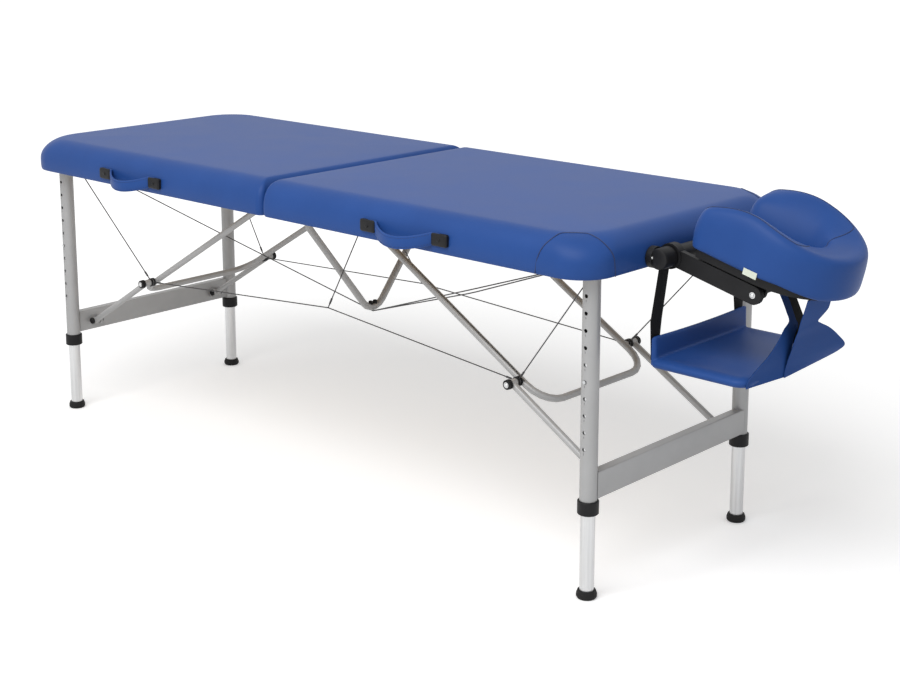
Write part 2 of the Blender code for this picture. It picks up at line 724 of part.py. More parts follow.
# Headrest, drawn level about the cross tube and then sloped
def sloped(shape):
    turn = Matrix.Translation((HUB_X, 0, HUB_Z)) @ Matrix.Rotation(SLOPE, 4, "Y")
    bmesh.ops.transform(shape, matrix=turn, verts=shape.verts)
    return shape


def on_slope(reach, height):
    """A point of the sloped headrest, on the table's middle plane."""
    turn = Matrix.Rotation(SLOPE, 4, "Y")
    return Vector((HUB_X, 0, HUB_Z)) + turn @ Vector((reach, 0, height))


def headrest_base_shape():
    """Two posts with their hubs, and the cross tube that the arms turn on."""
    cross = pin(HUB_X, HUB_Z, -CROSS_HALF, CROSS_HALF, CROSS_RADIUS, ROUND)
    extras = []
    for sy in SIDES.values():
        y = sy * POST_Y
        extras.append(rod((DISC_X[0], y, HUB_Z), (DISC_X[1], y, HUB_Z), DISC_RADIUS))
        extras.append(rod((POST_X[0], y, HUB_Z), (POST_X[1], y, HUB_Z), POST_RADIUS, EYE_ROUND))
    return fuse(cross, *extras)


def headrest_arms_shape():
    """Two arms with a knuckle each, tied by the rod at their far ends."""
    corners = [(0.0, 0, -ARM_HALF), (ARM_LENGTH, 0, -ARM_HALF), (ARM_LENGTH, 0, ARM_HALF), (0.0, 0, ARM_HALF)]
    outline = rounded(corners, [0, ARM_ROUND, ARM_ROUND, 0], steps=4)
    tie = pin(ROD_REACH, 0, -ARM_Y, ARM_Y, ROD_RADIUS)
    limbs = []
    for sy in SIDES.values():
        y = sy * ARM_Y
        limbs.append(prism(outline, (0, y - ARM_THICK / 2, 0), (0, y + ARM_THICK / 2, 0)))
        limbs.append(pin(0, 0, y - KNUCKLE_HALF, y + KNUCKLE_HALF, KNUCKLE_RADIUS, ROUND))
    bores = [pin(0, 0, -ARM_Y - CUT_REACH, ARM_Y + CUT_REACH, KNUCKLE_BORE, ROUND),
             pin(LEVER_REACH, 0, ARM_Y - CUT_REACH, ARM_Y + CUT_REACH, PIN_HOLE)]
    return sloped(cut(fuse(tie, *limbs), *bores))


def pad_line(arm_steps, bend_steps, start):
    """The U-shaped middle line of the face cushion, as points and outward directions."""
    line = []
    for step in range(arm_steps):
        reach = start + (PAD_CENTRE - start) * step / arm_steps
        line.append((Vector((reach, -PAD_ARM, 0)), Vector((0, -1, 0))))
    for step in range(bend_steps + 1):
        angle = math.pi * step / bend_steps
        out = Vector((math.sin(angle), -math.cos(angle), 0))
        line.append((Vector((PAD_CENTRE, 0, 0)) + out * PAD_ARM, out))
    for step in range(1, arm_steps + 1):
        reach = PAD_CENTRE + (start - PAD_CENTRE) * step / arm_steps
        line.append((Vector((reach, PAD_ARM, 0)), Vector((0, 1, 0))))
    return line


def headrest_platform_shape():
    """Horseshoe plate under the face cushion, with two lugs that turn on the rod."""
    line = pad_line(2, 12, PLATFORM_START)
    outer = [point + out * PLATFORM_HALF for point, out in line]
    inner = [point - out * PLATFORM_HALF for point, out in reversed(line)]
    plate = prism(outer + inner, (0, 0, PLATFORM_LOW), (0, 0, PLATFORM_HIGH))
    low, high = PIVOT_LUG_HALF
    corners = [(ROD_REACH - low, 0, -low), (ROD_REACH + low, 0, -low),
               (ROD_REACH + high, 0, PIVOT_LUG_TOP), (ROD_REACH - high, 0, PIVOT_LUG_TOP)]
    outline = rounded(corners, [PIVOT_LUG_ROUND, PIVOT_LUG_ROUND, 0, 0], steps=4)
    start, end = PIVOT_LUG_Y
    lugs = [prism(outline, (0, sy * start, 0), (0, sy * end, 0)) for sy in SIDES.values()]
    return sloped(cut(fuse(plate, *lugs), pin(ROD_REACH, 0, -ARM_Y, ARM_Y, ROD_HOLE)))


def face_cushion_shape():
    """Padded horseshoe with two arched limbs that fall towards the face opening, and a level far end."""
    rings = []
    for point, out in pad_line(9, 14, PAD_START + 0.001):
        arch = max(0.0, 1 - ((point.x - PAD_ARCH_AT) / PAD_ARCH_REACH) ** 2)
        from_end = (point.x - PAD_START) / PAD_END_ROUND
        shrink = math.sqrt(1 - (1 - from_end) ** 2) if from_end < 1 else 1.0
        keep = PAD_END_HEIGHT + (1 - PAD_END_HEIGHT) * shrink
        tall = (PAD_HIGH + PAD_ARCH * arch - PAD_LOW) * keep
        ring = []
        for limb, end in zip(PAD_LIMB, PAD_END):
            wide = (end[0] + (limb[0] - end[0]) * arch) * PAD_HALF * shrink
            high = (end[1] + (limb[1] - end[1]) * arch) * tall
            ring.append(point + out * wide + Vector((0, 0, PAD_LOW + high)))
        rings.append(ring)
    return sloped(loft(rings))


def cam_lever_shape():
    """Lever on the far arm that clamps the knuckles."""
    low = [(LEVER_REACH + reach, 0, -half) for reach, half, _ in LEVER_SHAPE]
    high = [(LEVER_REACH + reach, 0, half) for reach, half, _ in reversed(LEVER_SHAPE)]
    radii = [radius for _, _, radius in LEVER_SHAPE]
    outline = rounded(low + high, radii + radii[::-1], steps=3)
    face = ARM_Y + ARM_THICK / 2 + LEVER_GAP
    lever = prism(outline, (0, face, 0), (0, face + LEVER_THICK, 0))
    start = ARM_Y - ARM_THICK / 2 - PIN_PROUD
    return sloped(fuse(lever, pin(LEVER_REACH, 0, start, face + LEVER_THICK / 2, PIN)))


# Forearm shelf
def shelf_plan(inset, height):
    near = SHELF_X[0] + inset
    far = SHELF_X[1] - inset
    half = SHELF_HALF - inset
    corners = [(near, -half, height), (far, -half, height), (far, half, height), (near, half, height)]
    near_round, far_round = SHELF_ROUND
    return rounded(corners, [near_round, far_round, far_round, near_round], steps=4)


def arm_shelf_shape():
    """Padded board with an upright lip on the table's side."""
    slab = loft([shelf_plan(inset, SHELF_LOW + height) for inset, height in SHELF_EDGE])
    near = SHELF_X[0] + LIP_INSET
    corners = [(near, 0, SHELF_LOW + LIP_START), (near + LIP_THICK, 0, SHELF_LOW + LIP_START),
               (near + LIP_THICK, 0, LIP_HIGH), (near, 0, LIP_HIGH)]
    outline = rounded(corners, [0, 0, LIP_ROUND, LIP_ROUND], steps=3)
    half = SHELF_HALF - SHELF_ROUND[0]
    return fuse(slab, prism(outline, (0, -half, 0), (0, half, 0)))


def shelf_strap_shape():
    """Webbing from the cross tube down the outside of the lip."""
    path = rounded(STRAP, [0, STRAP_BEND, 0], steps=6, closed=False)
    top, middle, bottom = STRAP_WIDTHS
    top_z, middle_z, bottom_z = [point[2] for point in STRAP]
    widths = []
    for point in path:
        if point.z > middle_z:
            widths.append(middle + (top - middle) * (point.z - middle_z) / (top_z - middle_z))
        else:
            widths.append(middle + (bottom - middle) * (middle_z - point.z) / (middle_z - bottom_z))
    return band(path, (0, 1, 0), widths, STRAP_THICK)


def sling_shape(points):
    """Vinyl strap, level across, that widens to the outer edge of the shelf."""
    rings = []
    for start, end, low, high in zip(points, points[1:], SLING_WIDTHS, SLING_WIDTHS[1:]):
        along = (Vector(end) - Vector(start)).normalized()
        deep = along.cross(Vector((0, 1, 0))).normalized() * SLING_THICK / 2
        for step in range(SLING_STEPS):
            part = (step + 0.5) / SLING_STEPS
            point = Vector(start).lerp(Vector(end), part)
            wide = Vector((0, (low + (high - low) * part) / 2, 0))
            rings.append([point - wide - deep, point + wide - deep, point + wide + deep, point - wide + deep])
    return loft(rings)


def sling_points(y, neck, top):
    """From the shelf's outer edge, over its rim and through the narrow neck to the top."""
    edge = SHELF_X[1] + SLING_OFF
    return [(edge, y[0], SHELF_LOW), (edge, y[1], SHELF_HIGH - SLING_HEM), (neck[0], y[2], neck[1]),
            (top.x, y[3], top.z)]


def sling_shapes():
    under_platform = on_slope(SLING_FAR_TOP, PLATFORM_LOW - SLING_CLEAR)
    under_rod = on_slope(ROD_REACH, -ROD_RADIUS - SLING_CLEAR)
    return {"shelf_sling_far": sling_shape(sling_points(SLING_FAR_Y, SLING_FAR_NECK, under_platform)),
            "shelf_sling_near": sling_shape(sling_points(SLING_NEAR_Y, SLING_NEAR_NECK, under_rod))}


# Moving groups, each with its empty on its own axis
def make_bodies():
    body("hinge_core", (0, 0, 0))
    for end, sx in ENDS.items():
        panel = end + "_panel"
        legs = end + "_legs"
        body(panel, (sx * HINGE_X, 0, HINGE_Z), "hinge_core")
        body(legs, (sx * LEG_X, 0, LEG_PIVOT_Z), panel)
        body(end + "_brace", (sx * A[0], 0, A[1]), panel)
        body(end + "_struts", (sx * C[0], 0, C[1]), legs)
        for side, sy in SIDES.items():
            extension = end + "_" + side + "_extension"
            body(extension, (sx * LEG_X, sy * LEG_Y, 0), legs)
            body(end + "_" + side + "_button", (sx * LEG_X, sy * LEG_Y, BUTTON_Z), extension)
    body("headrest_mount", (HUB_X, 0, HUB_Z), "right_panel")
    body("headrest_tilt", (HUB_X, 0, HUB_Z), "headrest_mount")
    body("headrest_top", on_slope(ROD_REACH, 0), "headrest_tilt")
    body("headrest_pad", on_slope(ROD_REACH, PAD_LOW), "headrest_top")
    body("headrest_clamp", on_slope(LEVER_REACH, 0), "headrest_tilt")


def make_halves():
    for end, sx in ENDS.items():
        panel = end + "_panel"
        holes = post_holes() if end == "right" else []
        skirt_holes = post_holes() if end == "right" else []
        place("cushion_" + end, cushion_shape(), panel, "vinyl", sx)
        place("skirt_" + end, cut(skirt_shape(), *skirt_holes), panel, "vinyl", sx)
        place("board_" + end, board_shape(), panel, "wood", sx)
        place("frame_" + end, cut(frame_shape(), *holes), panel, "wood", sx)
        place("handle_" + end, handle_shape(*HANDLES[end]), panel, "vinyl")
        for side, sy in SIDES.items():
            place("hinge_plate_" + end + "_" + side, hinge_plate_shape(), panel, "steel", sx, sy)
    place("centre_bow", bow_shape(), "hinge_core", "paint")


def make_legs():
    for end, sx in ENDS.items():
        legs = end + "_legs"
        place("crossbar_" + end, crossbar_shape(), legs, "paint", sx)
        place("brace_" + end, brace_shape(), end + "_brace", "paint", sx)
        for side, sy in SIDES.items():
            corner = end + "_" + side
            place("leg_tube_" + corner, leg_tube_shape(), legs, "paint", sx, sy)
            place("collar_" + corner, collar_shape(), legs, "plastic", sx, sy)
            place("leg_inner_" + corner, leg_inner_shape(), corner + "_extension", "aluminium", sx, sy)
            place("foot_" + corner, foot_shape(), corner + "_extension", "rubber", sx, sy)
            place("leg_button_" + corner, button_shape(), corner + "_button", "steel", sx, sy)
            place("strut_" + corner, strut_shape(), end + "_struts", "paint", sx, sy)


def make_headrest():
    place("headrest_base", headrest_base_shape(), "headrest_mount", "plastic")
    place("headrest_arms", headrest_arms_shape(), "headrest_tilt", "plastic")
    place("headrest_platform", headrest_platform_shape(), "headrest_top", "plastic")
    place("face_cushion", face_cushion_shape(), "headrest_pad", "vinyl")
    place("cam_lever", cam_lever_shape(), "headrest_clamp", "plastic")
    place("arm_shelf", arm_shelf_shape(), "headrest_mount", "vinyl")
    for side, sy in SIDES.items():
        place("shelf_strap_" + side, shelf_strap_shape(), "headrest_mount", "webbing", 1, sy)
    for name, shape in sling_shapes().items():
        place(name, shape, "headrest_mount", "vinyl")


def main():
    for obj in list(bpy.data.objects):
        bpy.data.objects.remove(obj)
    make_bodies()
    make_halves()
    make_legs()
    make_headrest()
    cables()


main()
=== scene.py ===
"""Looks of the folding massage table: upholstery, cables, fittings, finishes, light and camera.

Metres, +Z up. Points are written from the middle of the folding line, X along the table with the
headrest at +X and Y across it with the carrying straps at -Y, and MID moves them into the model's
frame. Paired pieces are drawn for the head end and the +Y side, then mirrored.
"""
import json
import math

import bmesh
import bpy
from mathutils import Matrix, Vector


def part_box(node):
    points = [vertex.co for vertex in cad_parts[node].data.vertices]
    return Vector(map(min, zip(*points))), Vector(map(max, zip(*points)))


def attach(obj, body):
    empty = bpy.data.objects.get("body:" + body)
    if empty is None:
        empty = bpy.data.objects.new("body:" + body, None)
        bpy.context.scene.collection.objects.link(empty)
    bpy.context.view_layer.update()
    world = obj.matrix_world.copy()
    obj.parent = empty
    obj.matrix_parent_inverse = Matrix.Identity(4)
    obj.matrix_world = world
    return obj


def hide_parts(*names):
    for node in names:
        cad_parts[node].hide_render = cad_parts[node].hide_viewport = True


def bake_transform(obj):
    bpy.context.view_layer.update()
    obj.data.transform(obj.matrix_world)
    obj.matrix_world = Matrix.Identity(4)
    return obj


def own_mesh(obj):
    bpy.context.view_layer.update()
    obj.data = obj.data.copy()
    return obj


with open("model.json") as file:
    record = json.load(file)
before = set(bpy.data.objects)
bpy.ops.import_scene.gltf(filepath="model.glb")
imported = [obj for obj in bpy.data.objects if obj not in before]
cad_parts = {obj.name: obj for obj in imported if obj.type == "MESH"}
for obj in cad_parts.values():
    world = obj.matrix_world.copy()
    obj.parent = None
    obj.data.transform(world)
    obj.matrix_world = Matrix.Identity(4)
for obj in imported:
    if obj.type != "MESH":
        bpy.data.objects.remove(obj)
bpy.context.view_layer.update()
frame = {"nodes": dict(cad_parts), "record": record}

bow_low, bow_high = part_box("centre_bow")
MID = Vector(((bow_low.x + bow_high.x) / 2, (bow_low.y + bow_high.y) / 2, 0))
skirt_low, skirt_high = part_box("skirt_right")

# Top
HALF_LENGTH = skirt_high.x - MID.x
HALF_WIDTH = skirt_high.y - MID.y
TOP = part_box("cushion_right")[1].z
UNDERSIDE = skirt_low.z
SEAM = skirt_low.x - MID.x
CORNER = 0.080
SEAM_CORNER = 0.016
LEAST_CORNER = 0.006
CORNER_SOFT = 0.045         # how much rounder the outer corners are at the top than at the sides
SHOULDER_LOW = 0.696        # the sides start to draw in at this height
SHOULDER_HIGH = 0.7482
SHOULDER_IN = 0.046
SHOULDER_STEPS = 12
SEAM_SHARE = 0.5            # draw-in beside the folding line, as a share of the draw-in elsewhere
CARCASS = 0.0138            # the board and the rails start this far in
BOARD_TOP = 0.7101
CROWN_INSETS = (0.062, 0.088, 0.125, 0.175, 0.230, 0.285, 0.330)
SIDE_BULGE = 0.0012
SHOULDER_BULGE = SIDE_BULGE * 0.7
# Rolled lower edge of the cover: how far in it lies, and its height above the underside
COVER_HEM = ((CARCASS, 0.001), (CARCASS - 0.001, 0.0), (0.0060, 0.0), (0.0022, 0.0016),
             (0.0004, 0.0052), (-SIDE_BULGE * 0.6, 0.012), (-SIDE_BULGE, 0.022))
COVER_STEPS = 10
COVER_STRAIGHTS = (40, 26, 40, 30)
# Seam round a corner patch: length along the side and height, from the start of the corner's arc,
# in shares of the arc, and from its end
PATCH_SIDE = ((-0.0445, 0.690), (-0.0400, 0.7045), (-0.0345, 0.7185), (-0.0270, 0.7305),
              (-0.0160, 0.7405), (-0.0016, 0.7460))
PATCH_ARC = ((0.25, 0.7472), (0.5, 0.7470))
PATCH_END = ((-0.0425, 0.7456), (-0.0220, 0.7385), (-0.0085, 0.7255), (-0.0003, 0.7100),
             (0.0035, 0.6900))
PATCH_FEET = (-0.0475, 0.0060)
PATCH_RISE = 0.002          # the seam's ends are this far above the underside
PATCH_RADIUS = 0.0013
PATCH_ACROSS = (0.3, 0.4, 0.86)  # never along the seam

# Braces and cables
KNEE = (0.628, 0.378)       # X and Z
KNEE_CLEAR = 0.0095
STRUT_FACE = 0.226
STRUT_FOOT = (0.863, 0.235)
# Turned profiles and bolt heads give radius and height
STRUT_CAP = ((0.0060, 0.0), (0.0084, 0.0006), (0.0084, 0.0048), (0.0066, 0.0066), (0.0004, 0.0070))
STRUT_CAPS = ((0.2184, 1.0), (0.1938, -0.55))    # Y of each cap, and which way and how deep it sits
SPOOL_START = 0.1865
SPOOL_STEP = 0.0078
KNEE_RING = ((0.0084, 0.0), (0.0108, 0.0006), (0.0108, 0.0044), (0.0084, 0.0050))
KNEE_CAP = ((0.0080, -0.0079), (0.0108, -0.0072), (0.0108, -0.0038), (0.0090, -0.0032), (0.0090, -0.0014),
            (0.0104, -0.0008), (0.0104, 0.0022), (0.0092, 0.0034), (0.0004, 0.0036))
KNEE_BOLT_OUT = 0.0034
KNEE_BOLT = (0.0046, 0.0030)
# Domed bolt head on a thin washer, in shares of its radius and height
BOLT_HEAD = ((1.35, 0.0), (1.35, 0.15), (1.0, 0.2), (1.0, 0.45), (0.86, 0.75), (0.5, 0.95), (0.05, 1.0))
CABLE_RADIUS = 0.0014
FERRULE_RADIUS = 0.0024
FERRULE_START = 0.0101
FERRULE_LENGTH = 0.014
FERRULE_STEP = 0.0001
ROUNDING = 1e-9
ANCHOR = (0.872, 0.2472, 0.672)
SIDE_CABLE_Y = 0.1945
RIDGE_CABLE_Y = 0.1905
RIDGE_X = 0.0125            # both strands meet on the head side of the bow
RIDGE_NODE = (0.160, 0.419)  # Y and Z
RIDGE_TOP = (0.008, 0.658)
RIDGE_ACROSS = (0.5, 0.6, 0.6)  # never along these cables
BOW_ANCHOR = (0.869, 0.2472, 0.684)
BOW_DIP = 0.3775
# Strands of the bow's cable at each end, and their sag
BOW_STRANDS = {"left": (("stay", 0.001),), "right": (("stay", 0.001), ("second_stay", 0.009))}
BOW_ROUND = 2.0
BOW_INSIDE_Z = 0.3955
BUMPER = ((0.0052, 0.0), (0.0056, 0.0012), (0.0056, 0.0068), (0.0044, 0.0086), (0.0004, 0.0092))
BUMPER_Y = 0.0075

# Legs
LEG_X = 0.880
LEG_Y = 0.271
LEG_RADIUS = 0.018
HOLE_TOP_Z = 0.625
HOLE_PITCH = 0.0345
HOLE_COUNT = 10
MARK_DROP = 0.0092
MARK_SIZE = (0.0011, 0.0042)
MARK_DEPTH = (-0.0002, 0.00015)

# Headrest
HUB = Vector((0.957, 0, 0.688))
SLOPE = math.radians(14)
DISC_X = 0.945
POST_Y = 0.150
SLEEVE_Y = 0.1285
SLEEVE = ((0.0182, 0.0), (0.0197, 0.0), (0.0212, 0.0015), (0.0212, 0.0340), (0.0200, 0.0368),
          (0.0172, 0.0380), (0.0080, 0.0386))
HUB_SCREW = (0.0026, 0.0024)
SCREW_OUT = 0.0168
SCREW_RISE = 0.002
ARM_BOLT = (0.0046, 0.0034)
SUNK = 0.0002               # screw and bolt heads start this deep in what they hold
ARM_FACE = 0.122
ROD_REACH = 0.193
PAD_ARM = 0.095
PAD_CENTRE = 0.187
PAD_START = 0.030
PAD_FIRST = 0.0006          # the first section lies this far inside the limb's end
PAD_HALF = 0.045
PAD_LOW = 0.0418
PAD_HIGH = 0.104            # height at the far end
PAD_ARCH = 0.042            # extra height at the top of each limb's arch
PAD_ARCH_AT = 0.145
PAD_ARCH_REACH = (0.172, 0.157)
PAD_END_ROUND = 0.036
PAD_END_HEIGHT = 0.80       # share of the height that the round ends keep
PAD_END_LEAN = 0.017        # how far the top and the bottom of an end are drawn in
PAD_END_MIDDLE = 0.45
PAD_SKIRT_FROM = 0.222      # the far end hangs down over the platform's edge from here on
PAD_SKIRT_OVER = 0.045
PLATFORM_SHARE = 0.69
# Section of the cushion in shares of its width and height: on a limb, then at the far end
PAD_LIMB = ((-0.88, 0.0), (0.0, 0.0), (0.70, 0.0), (0.90, 0.0), (1.00, 0.09), (1.00, 0.32),
            (0.96, 0.56), (0.87, 0.78), (0.72, 0.93), (0.48, 1.0), (0.20, 0.965), (-0.12, 0.86),
            (-0.45, 0.70), (-0.70, 0.52), (-0.88, 0.32), (-0.97, 0.12))
PAD_END = ((-0.88, 0.0), (0.0, 0.0), (0.72, 0.0), (0.80, -0.25), (0.98, -0.18), (1.01, 0.26),
           (1.00, 0.60), (0.96, 0.82), (0.86, 0.94), (0.62, 1.0), (0.20, 1.0), (-0.25, 1.0),
           (-0.62, 0.985), (-0.80, 0.90), (-0.93, 0.66), (-0.97, 0.30))
PAD_FINE = 5                # steps between two points of the section
CREST = 9                   # the seam's place in the section, on a limb and at the far end
RIM = 13
ARM_STEPS = 22
BEND_STEPS = 44
PIPING_RADIUS = 0.0011
SEAM_TURN = (math.radians(33), math.radians(60))
TAG_AT = 0.186
TAG_SIZE = (0.030, 0.013)
TAG_DEPTH = (0.0004, 0.0011)
TAG_REACH = (-0.35, 0.65)   # how far it hangs and stands past the cushion's lower edge, in shares
TAG_RISE = 0.002

# Forearm shelf
SHELF_X = (0.9455, 1.165)
SHELF_HALF = 0.170
SHELF_LOW = 0.468
SHELF_HIGH = 0.488
SHELF_ROUND = (0.012, 0.030)  # at the table and at the outer end
SHELF_LEAST_ROUND = 0.003
SHELF_STEPS = 6
SHELF_STRAIGHTS = (12, 16, 12, 16)
SHELF_INSIDE = 0.0002
SHELF_ROLL = (1.15, 1.9)    # depth of the rolled edge below and above its middle, in shares of its height
SHELF_ROLL_STEPS = 12
# How far in from the edge, and how far the top has sunk there
SHELF_SINK = ((0.026, 0.0006), (0.036, 0.0016), (0.052, 0.0024), (0.080, 0.0028))
LIP_HIGH = 0.5316
LIP_BASE = SHELF_LOW + 0.006
LIP_THICK = 0.011
LIP_NEAR = SHELF_X[0] + 0.0006
LIP_TOP = (0.10, 0.85)      # both top edges of the lip, in shares of its thickness
LIP_ROUND = 0.32
LIP_HALF = SHELF_HALF - 0.004
LIP_STEPS = 32
LIP_SAG = 0.0035
LIP_END = 0.05              # share of the lip that thins out and rounds off at each end
LIP_END_DROP = 0.006
LIP_END_IN = 0.002
LIP_END_THIN = 0.75         # share of its thickness that the lip loses there
LIP_FOLD = 0.009            # radius of the soft fold where the lip meets the shelf
LIP_FOLD_LOSS = 0.6         # share of that radius that is lost at the ends
LIP_FOLD_SINK = (0.002, 0.005)  # depth of the fold's corner and of its foot in the pad
STRAP = ((0.955, 0.140, HUB.z - 0.0186), (0.9438, 0.147, 0.560), (0.9438, 0.150, 0.482))
STRAP_BEND = 0.060
STRAP_WIDTHS = (0.034, 0.037, 0.022)
STRAP_THICK = 0.002
SLING_THICK = 0.0012
SLING_HEM = 0.0018          # the lining stops this far inside the edges
SLING_FAR_TOP = (0.283, 0, 0.0196)
SLING_NEAR_TOP = (ROD_REACH, 0, -0.0074)
SLING_TURNED_BACK = 0.002
SLING_SPLIT = 7             # the row where the far sling is cut into two layers
SLING_STEPS = 8
SLING_ACROSS = 14

# Carrying straps: X of both end plates and their height, for each half
HANDLES = {"left": (-0.580, -0.383, 0.694), "right": (0.351, 0.557, 0.697)}
HANDLE_BULGE = 0.034
HANDLE_DROOP = 0.014
HANDLE_FLAT = 0.023         # this much of each end lies flat under its plate
HANDLE_WIDTH = 0.027
HANDLE_THICK = 0.005
HANDLE_STEPS = 32
HANDLE_OFF = 0.0043
HANDLE_CURVE = 0.85
STITCH_IN = 0.004
STITCH_PITCH = 0.006
STITCH_LENGTH = 0.0036
STITCH_THICK = 0.0004
PLATE_SIZE = (0.043, 0.026)
PLATE_CORNER = 0.004
PLATE_OFF = 0.0002
PLATE_DEPTH = 0.0098
# Growth of the plate's outline and its depth, from the panel outwards
PLATE_PROFILE = ((-0.001, 0.0), (0.0, 0.001), (0.0, 0.0075), (-0.0018, 0.0094), (-0.004, PLATE_DEPTH))
PLATE_SCREW = ((0.0006, 0.0), (0.0042, 0.0002), (0.0040, 0.0012), (0.0022, 0.0018), (0.0006, 0.0019))

# Photograph's view, floor and light
CAMERA_PLACE = Vector((2.7223, -2.6609, 1.4036))
CAMERA_TURN = 0.7474
CAMERA_TILT = 0.2020
CAMERA_FOCAL_PIXELS = 1610.1
CAMERA_SHIFT = -0.14
PHOTO_WIDTH = 900
SENSOR = 36.0
FLOOR_RADIUS = 60.0
FLOOR_DROP = 0.0005
# The floor's glow grows with the distance from its middle
FLOOR_GLOW = {"From Min": 1.0, "From Max": 3.0, "To Min": 0.27, "To Max": 0.58}
FLOOR_GREY = (0.80, 0.80, 0.80, 1.0)
FLOOR_SEEN = (0.95, 0.95, 0.95, 1.0)
WHITE = (1.0, 1.0, 1.0, 1.0)
WORLD_LIGHT = 0.50
LAMP_PLACE = Vector((0.8, -3.0, 3.7))
LAMP_AIM = Vector((0, 0, 0.5))
LAMP_SIZE = (4.0, 3.0)
LAMP_POWER = 150.0

ENDS = {"left": -1, "right": 1}
SIDES = {"front": -1, "back": 1}
SQUARE = ((-1, -1), (1, -1), (1, 1), (-1, 1))
SMOOTH_ANGLE = math.radians(38)
NOISE = "ShaderNodeTexNoise"
CELLS = "ShaderNodeTexVoronoi"
GRAIN_SPOTS = (0.35, 0.65)
FACET_MERGE = 0.00002

scene = bpy.context.scene
materials = {}


# Materials
def add(tree, kind, **sockets):
    """A node with its input values set."""
    node = tree.nodes.new(kind)
    for name, value in sockets.items():
        node.inputs[name].default_value = value
    return node


def wire(tree, source, output, target, socket):
    """Connect an output of one node to an input of another."""
    tree.links.new(source.outputs[output], target.inputs[socket])


def finish(slot, colours, roughness, metallic=0.0, specular=0.5, grain=6.0, stretch=(1, 1, 1),
           relief=(NOISE, 500.0, 0.1, 0.0004), edge=0.0):
    """A procedural finish: two near colours in a soft grain, roughness that follows it, a fine relief."""
    made = bpy.data.materials.new(slot)
    made.use_nodes = True
    tree = made.node_tree
    shader = tree.nodes["Principled BSDF"]
    shader.inputs["Metallic"].default_value = metallic
    shader.inputs["Specular IOR Level"].default_value = specular
    place = add(tree, "ShaderNodeTexCoord")
    spread = add(tree, "ShaderNodeMapping", Scale=stretch)
    cloud = add(tree, NOISE, Scale=grain, Detail=5.0, Roughness=0.55)
    ramp = add(tree, "ShaderNodeValToRGB")
    rough = add(tree, "ShaderNodeMapRange", **dict(zip(("To Min", "To Max"), roughness)))
    wire(tree, place, "Object", spread, "Vector")
    wire(tree, spread, "Vector", cloud, "Vector")
    wire(tree, cloud, "Fac", ramp, "Fac")
    for element, colour, spot in zip(ramp.color_ramp.elements, colours, GRAIN_SPOTS):
        element.color = (*colour, 1.0)
        element.position = spot
    wire(tree, ramp, "Color", shader, "Base Color")
    wire(tree, cloud, "Fac", rough, "Value")
    wire(tree, rough, "Result", shader, "Roughness")
    kind, scale, strength, depth = relief
    pattern = add(tree, kind, Scale=scale)
    wire(tree, spread, "Vector", pattern, "Vector")
    lift = add(tree, "ShaderNodeBump", Strength=strength, Distance=depth)
    wire(tree, pattern, "Distance" if kind == CELLS else "Fac", lift, "Height")
    if edge:
        soft = add(tree, "ShaderNodeBevel", Radius=edge)
        wire(tree, soft, "Normal", lift, "Normal")
    wire(tree, lift, "Normal", shader, "Normal")
    materials[slot] = made


def make_materials():
    leather = (CELLS, 850.0, 0.10, 0.0004)
    finish("padding", ((0.0175, 0.0645, 0.247), (0.0200, 0.0715, 0.269)), (0.42, 0.50),
           specular=0.18, grain=9.0, relief=leather)
    # The sling vinyl is the padding's vinyl made a little darker, which paints shade on the slings that
    # face away from the lamp.
    finish("sling_vinyl", ((0.0165, 0.061, 0.234), (0.0190, 0.067, 0.251)), (0.55, 0.65),
           specular=0.08, grain=9.0, relief=leather)
    finish("plywood", ((0.42, 0.29, 0.16), (0.56, 0.41, 0.25)), (0.50, 0.65), grain=9.0,
           stretch=(1, 9, 9), relief=(NOISE, 60.0, 0.15, 0.001), edge=0.001)
    finish("steel", ((0.46, 0.47, 0.48), (0.56, 0.57, 0.58)), (0.30, 0.42), metallic=1.0,
           grain=60.0, relief=(NOISE, 400.0, 0.05, 0.0005), edge=0.0006)
    finish("satin_tube", ((0.400, 0.400, 0.400), (0.430, 0.430, 0.430)), (0.36, 0.44),
           metallic=0.12, grain=14.0, relief=(NOISE, 900.0, 0.05, 0.0003))
    finish("silver_paint", ((0.375, 0.376, 0.378), (0.400, 0.401, 0.403)), (0.38, 0.46),
           metallic=0.25, grain=16.0, relief=(NOISE, 1400.0, 0.06, 0.0003), edge=0.0012)
    finish("bright_aluminium", ((0.58, 0.585, 0.59), (0.68, 0.685, 0.69)), (0.24, 0.36), metallic=0.85,
           grain=150.0, stretch=(1, 1, 0.03), relief=(NOISE, 500.0, 0.04, 0.0003))
    finish("black_plastic", ((0.006, 0.006, 0.007), (0.010, 0.010, 0.011)), (0.42, 0.54),
           specular=0.22, grain=25.0, relief=(CELLS, 900.0, 0.10, 0.0004), edge=0.0015)
    finish("black_rubber", ((0.008, 0.008, 0.008), (0.013, 0.013, 0.013)), (0.60, 0.76),
           specular=0.25, grain=30.0, relief=(NOISE, 500.0, 0.15, 0.0005), edge=0.001)
    finish("black_webbing", ((0.005, 0.005, 0.006), (0.011, 0.011, 0.012)), (0.72, 0.86),
           specular=0.15, grain=500.0, stretch=(1, 1, 0.35), relief=(NOISE, 900.0, 0.5, 0.0008))
    finish("cable_steel", ((0.050, 0.050, 0.053), (0.075, 0.075, 0.078)), (0.40, 0.50),
           metallic=0.5, grain=500.0, relief=(NOISE, 1500.0, 0.3, 0.0004))
    finish("tag", ((0.66, 0.71, 0.60), (0.72, 0.77, 0.67)), (0.55, 0.65), grain=80.0,
           relief=(NOISE, 1500.0, 0.1, 0.0003))
    # thread_and_seam_shade: real stitching thread on the carrying straps; on the corner and face seams
    # its dark blue is partly the seam and partly painted shade of the seam's groove
    finish("thread_and_seam_shade", ((0.006, 0.019, 0.080), (0.008, 0.024, 0.100)), (0.55, 0.65), grain=300.0,
           relief=(NOISE, 1500.0, 0.2, 0.0003))
    finish("mark", ((0.16, 0.16, 0.16), (0.20, 0.20, 0.20)), (0.50, 0.60), grain=300.0)


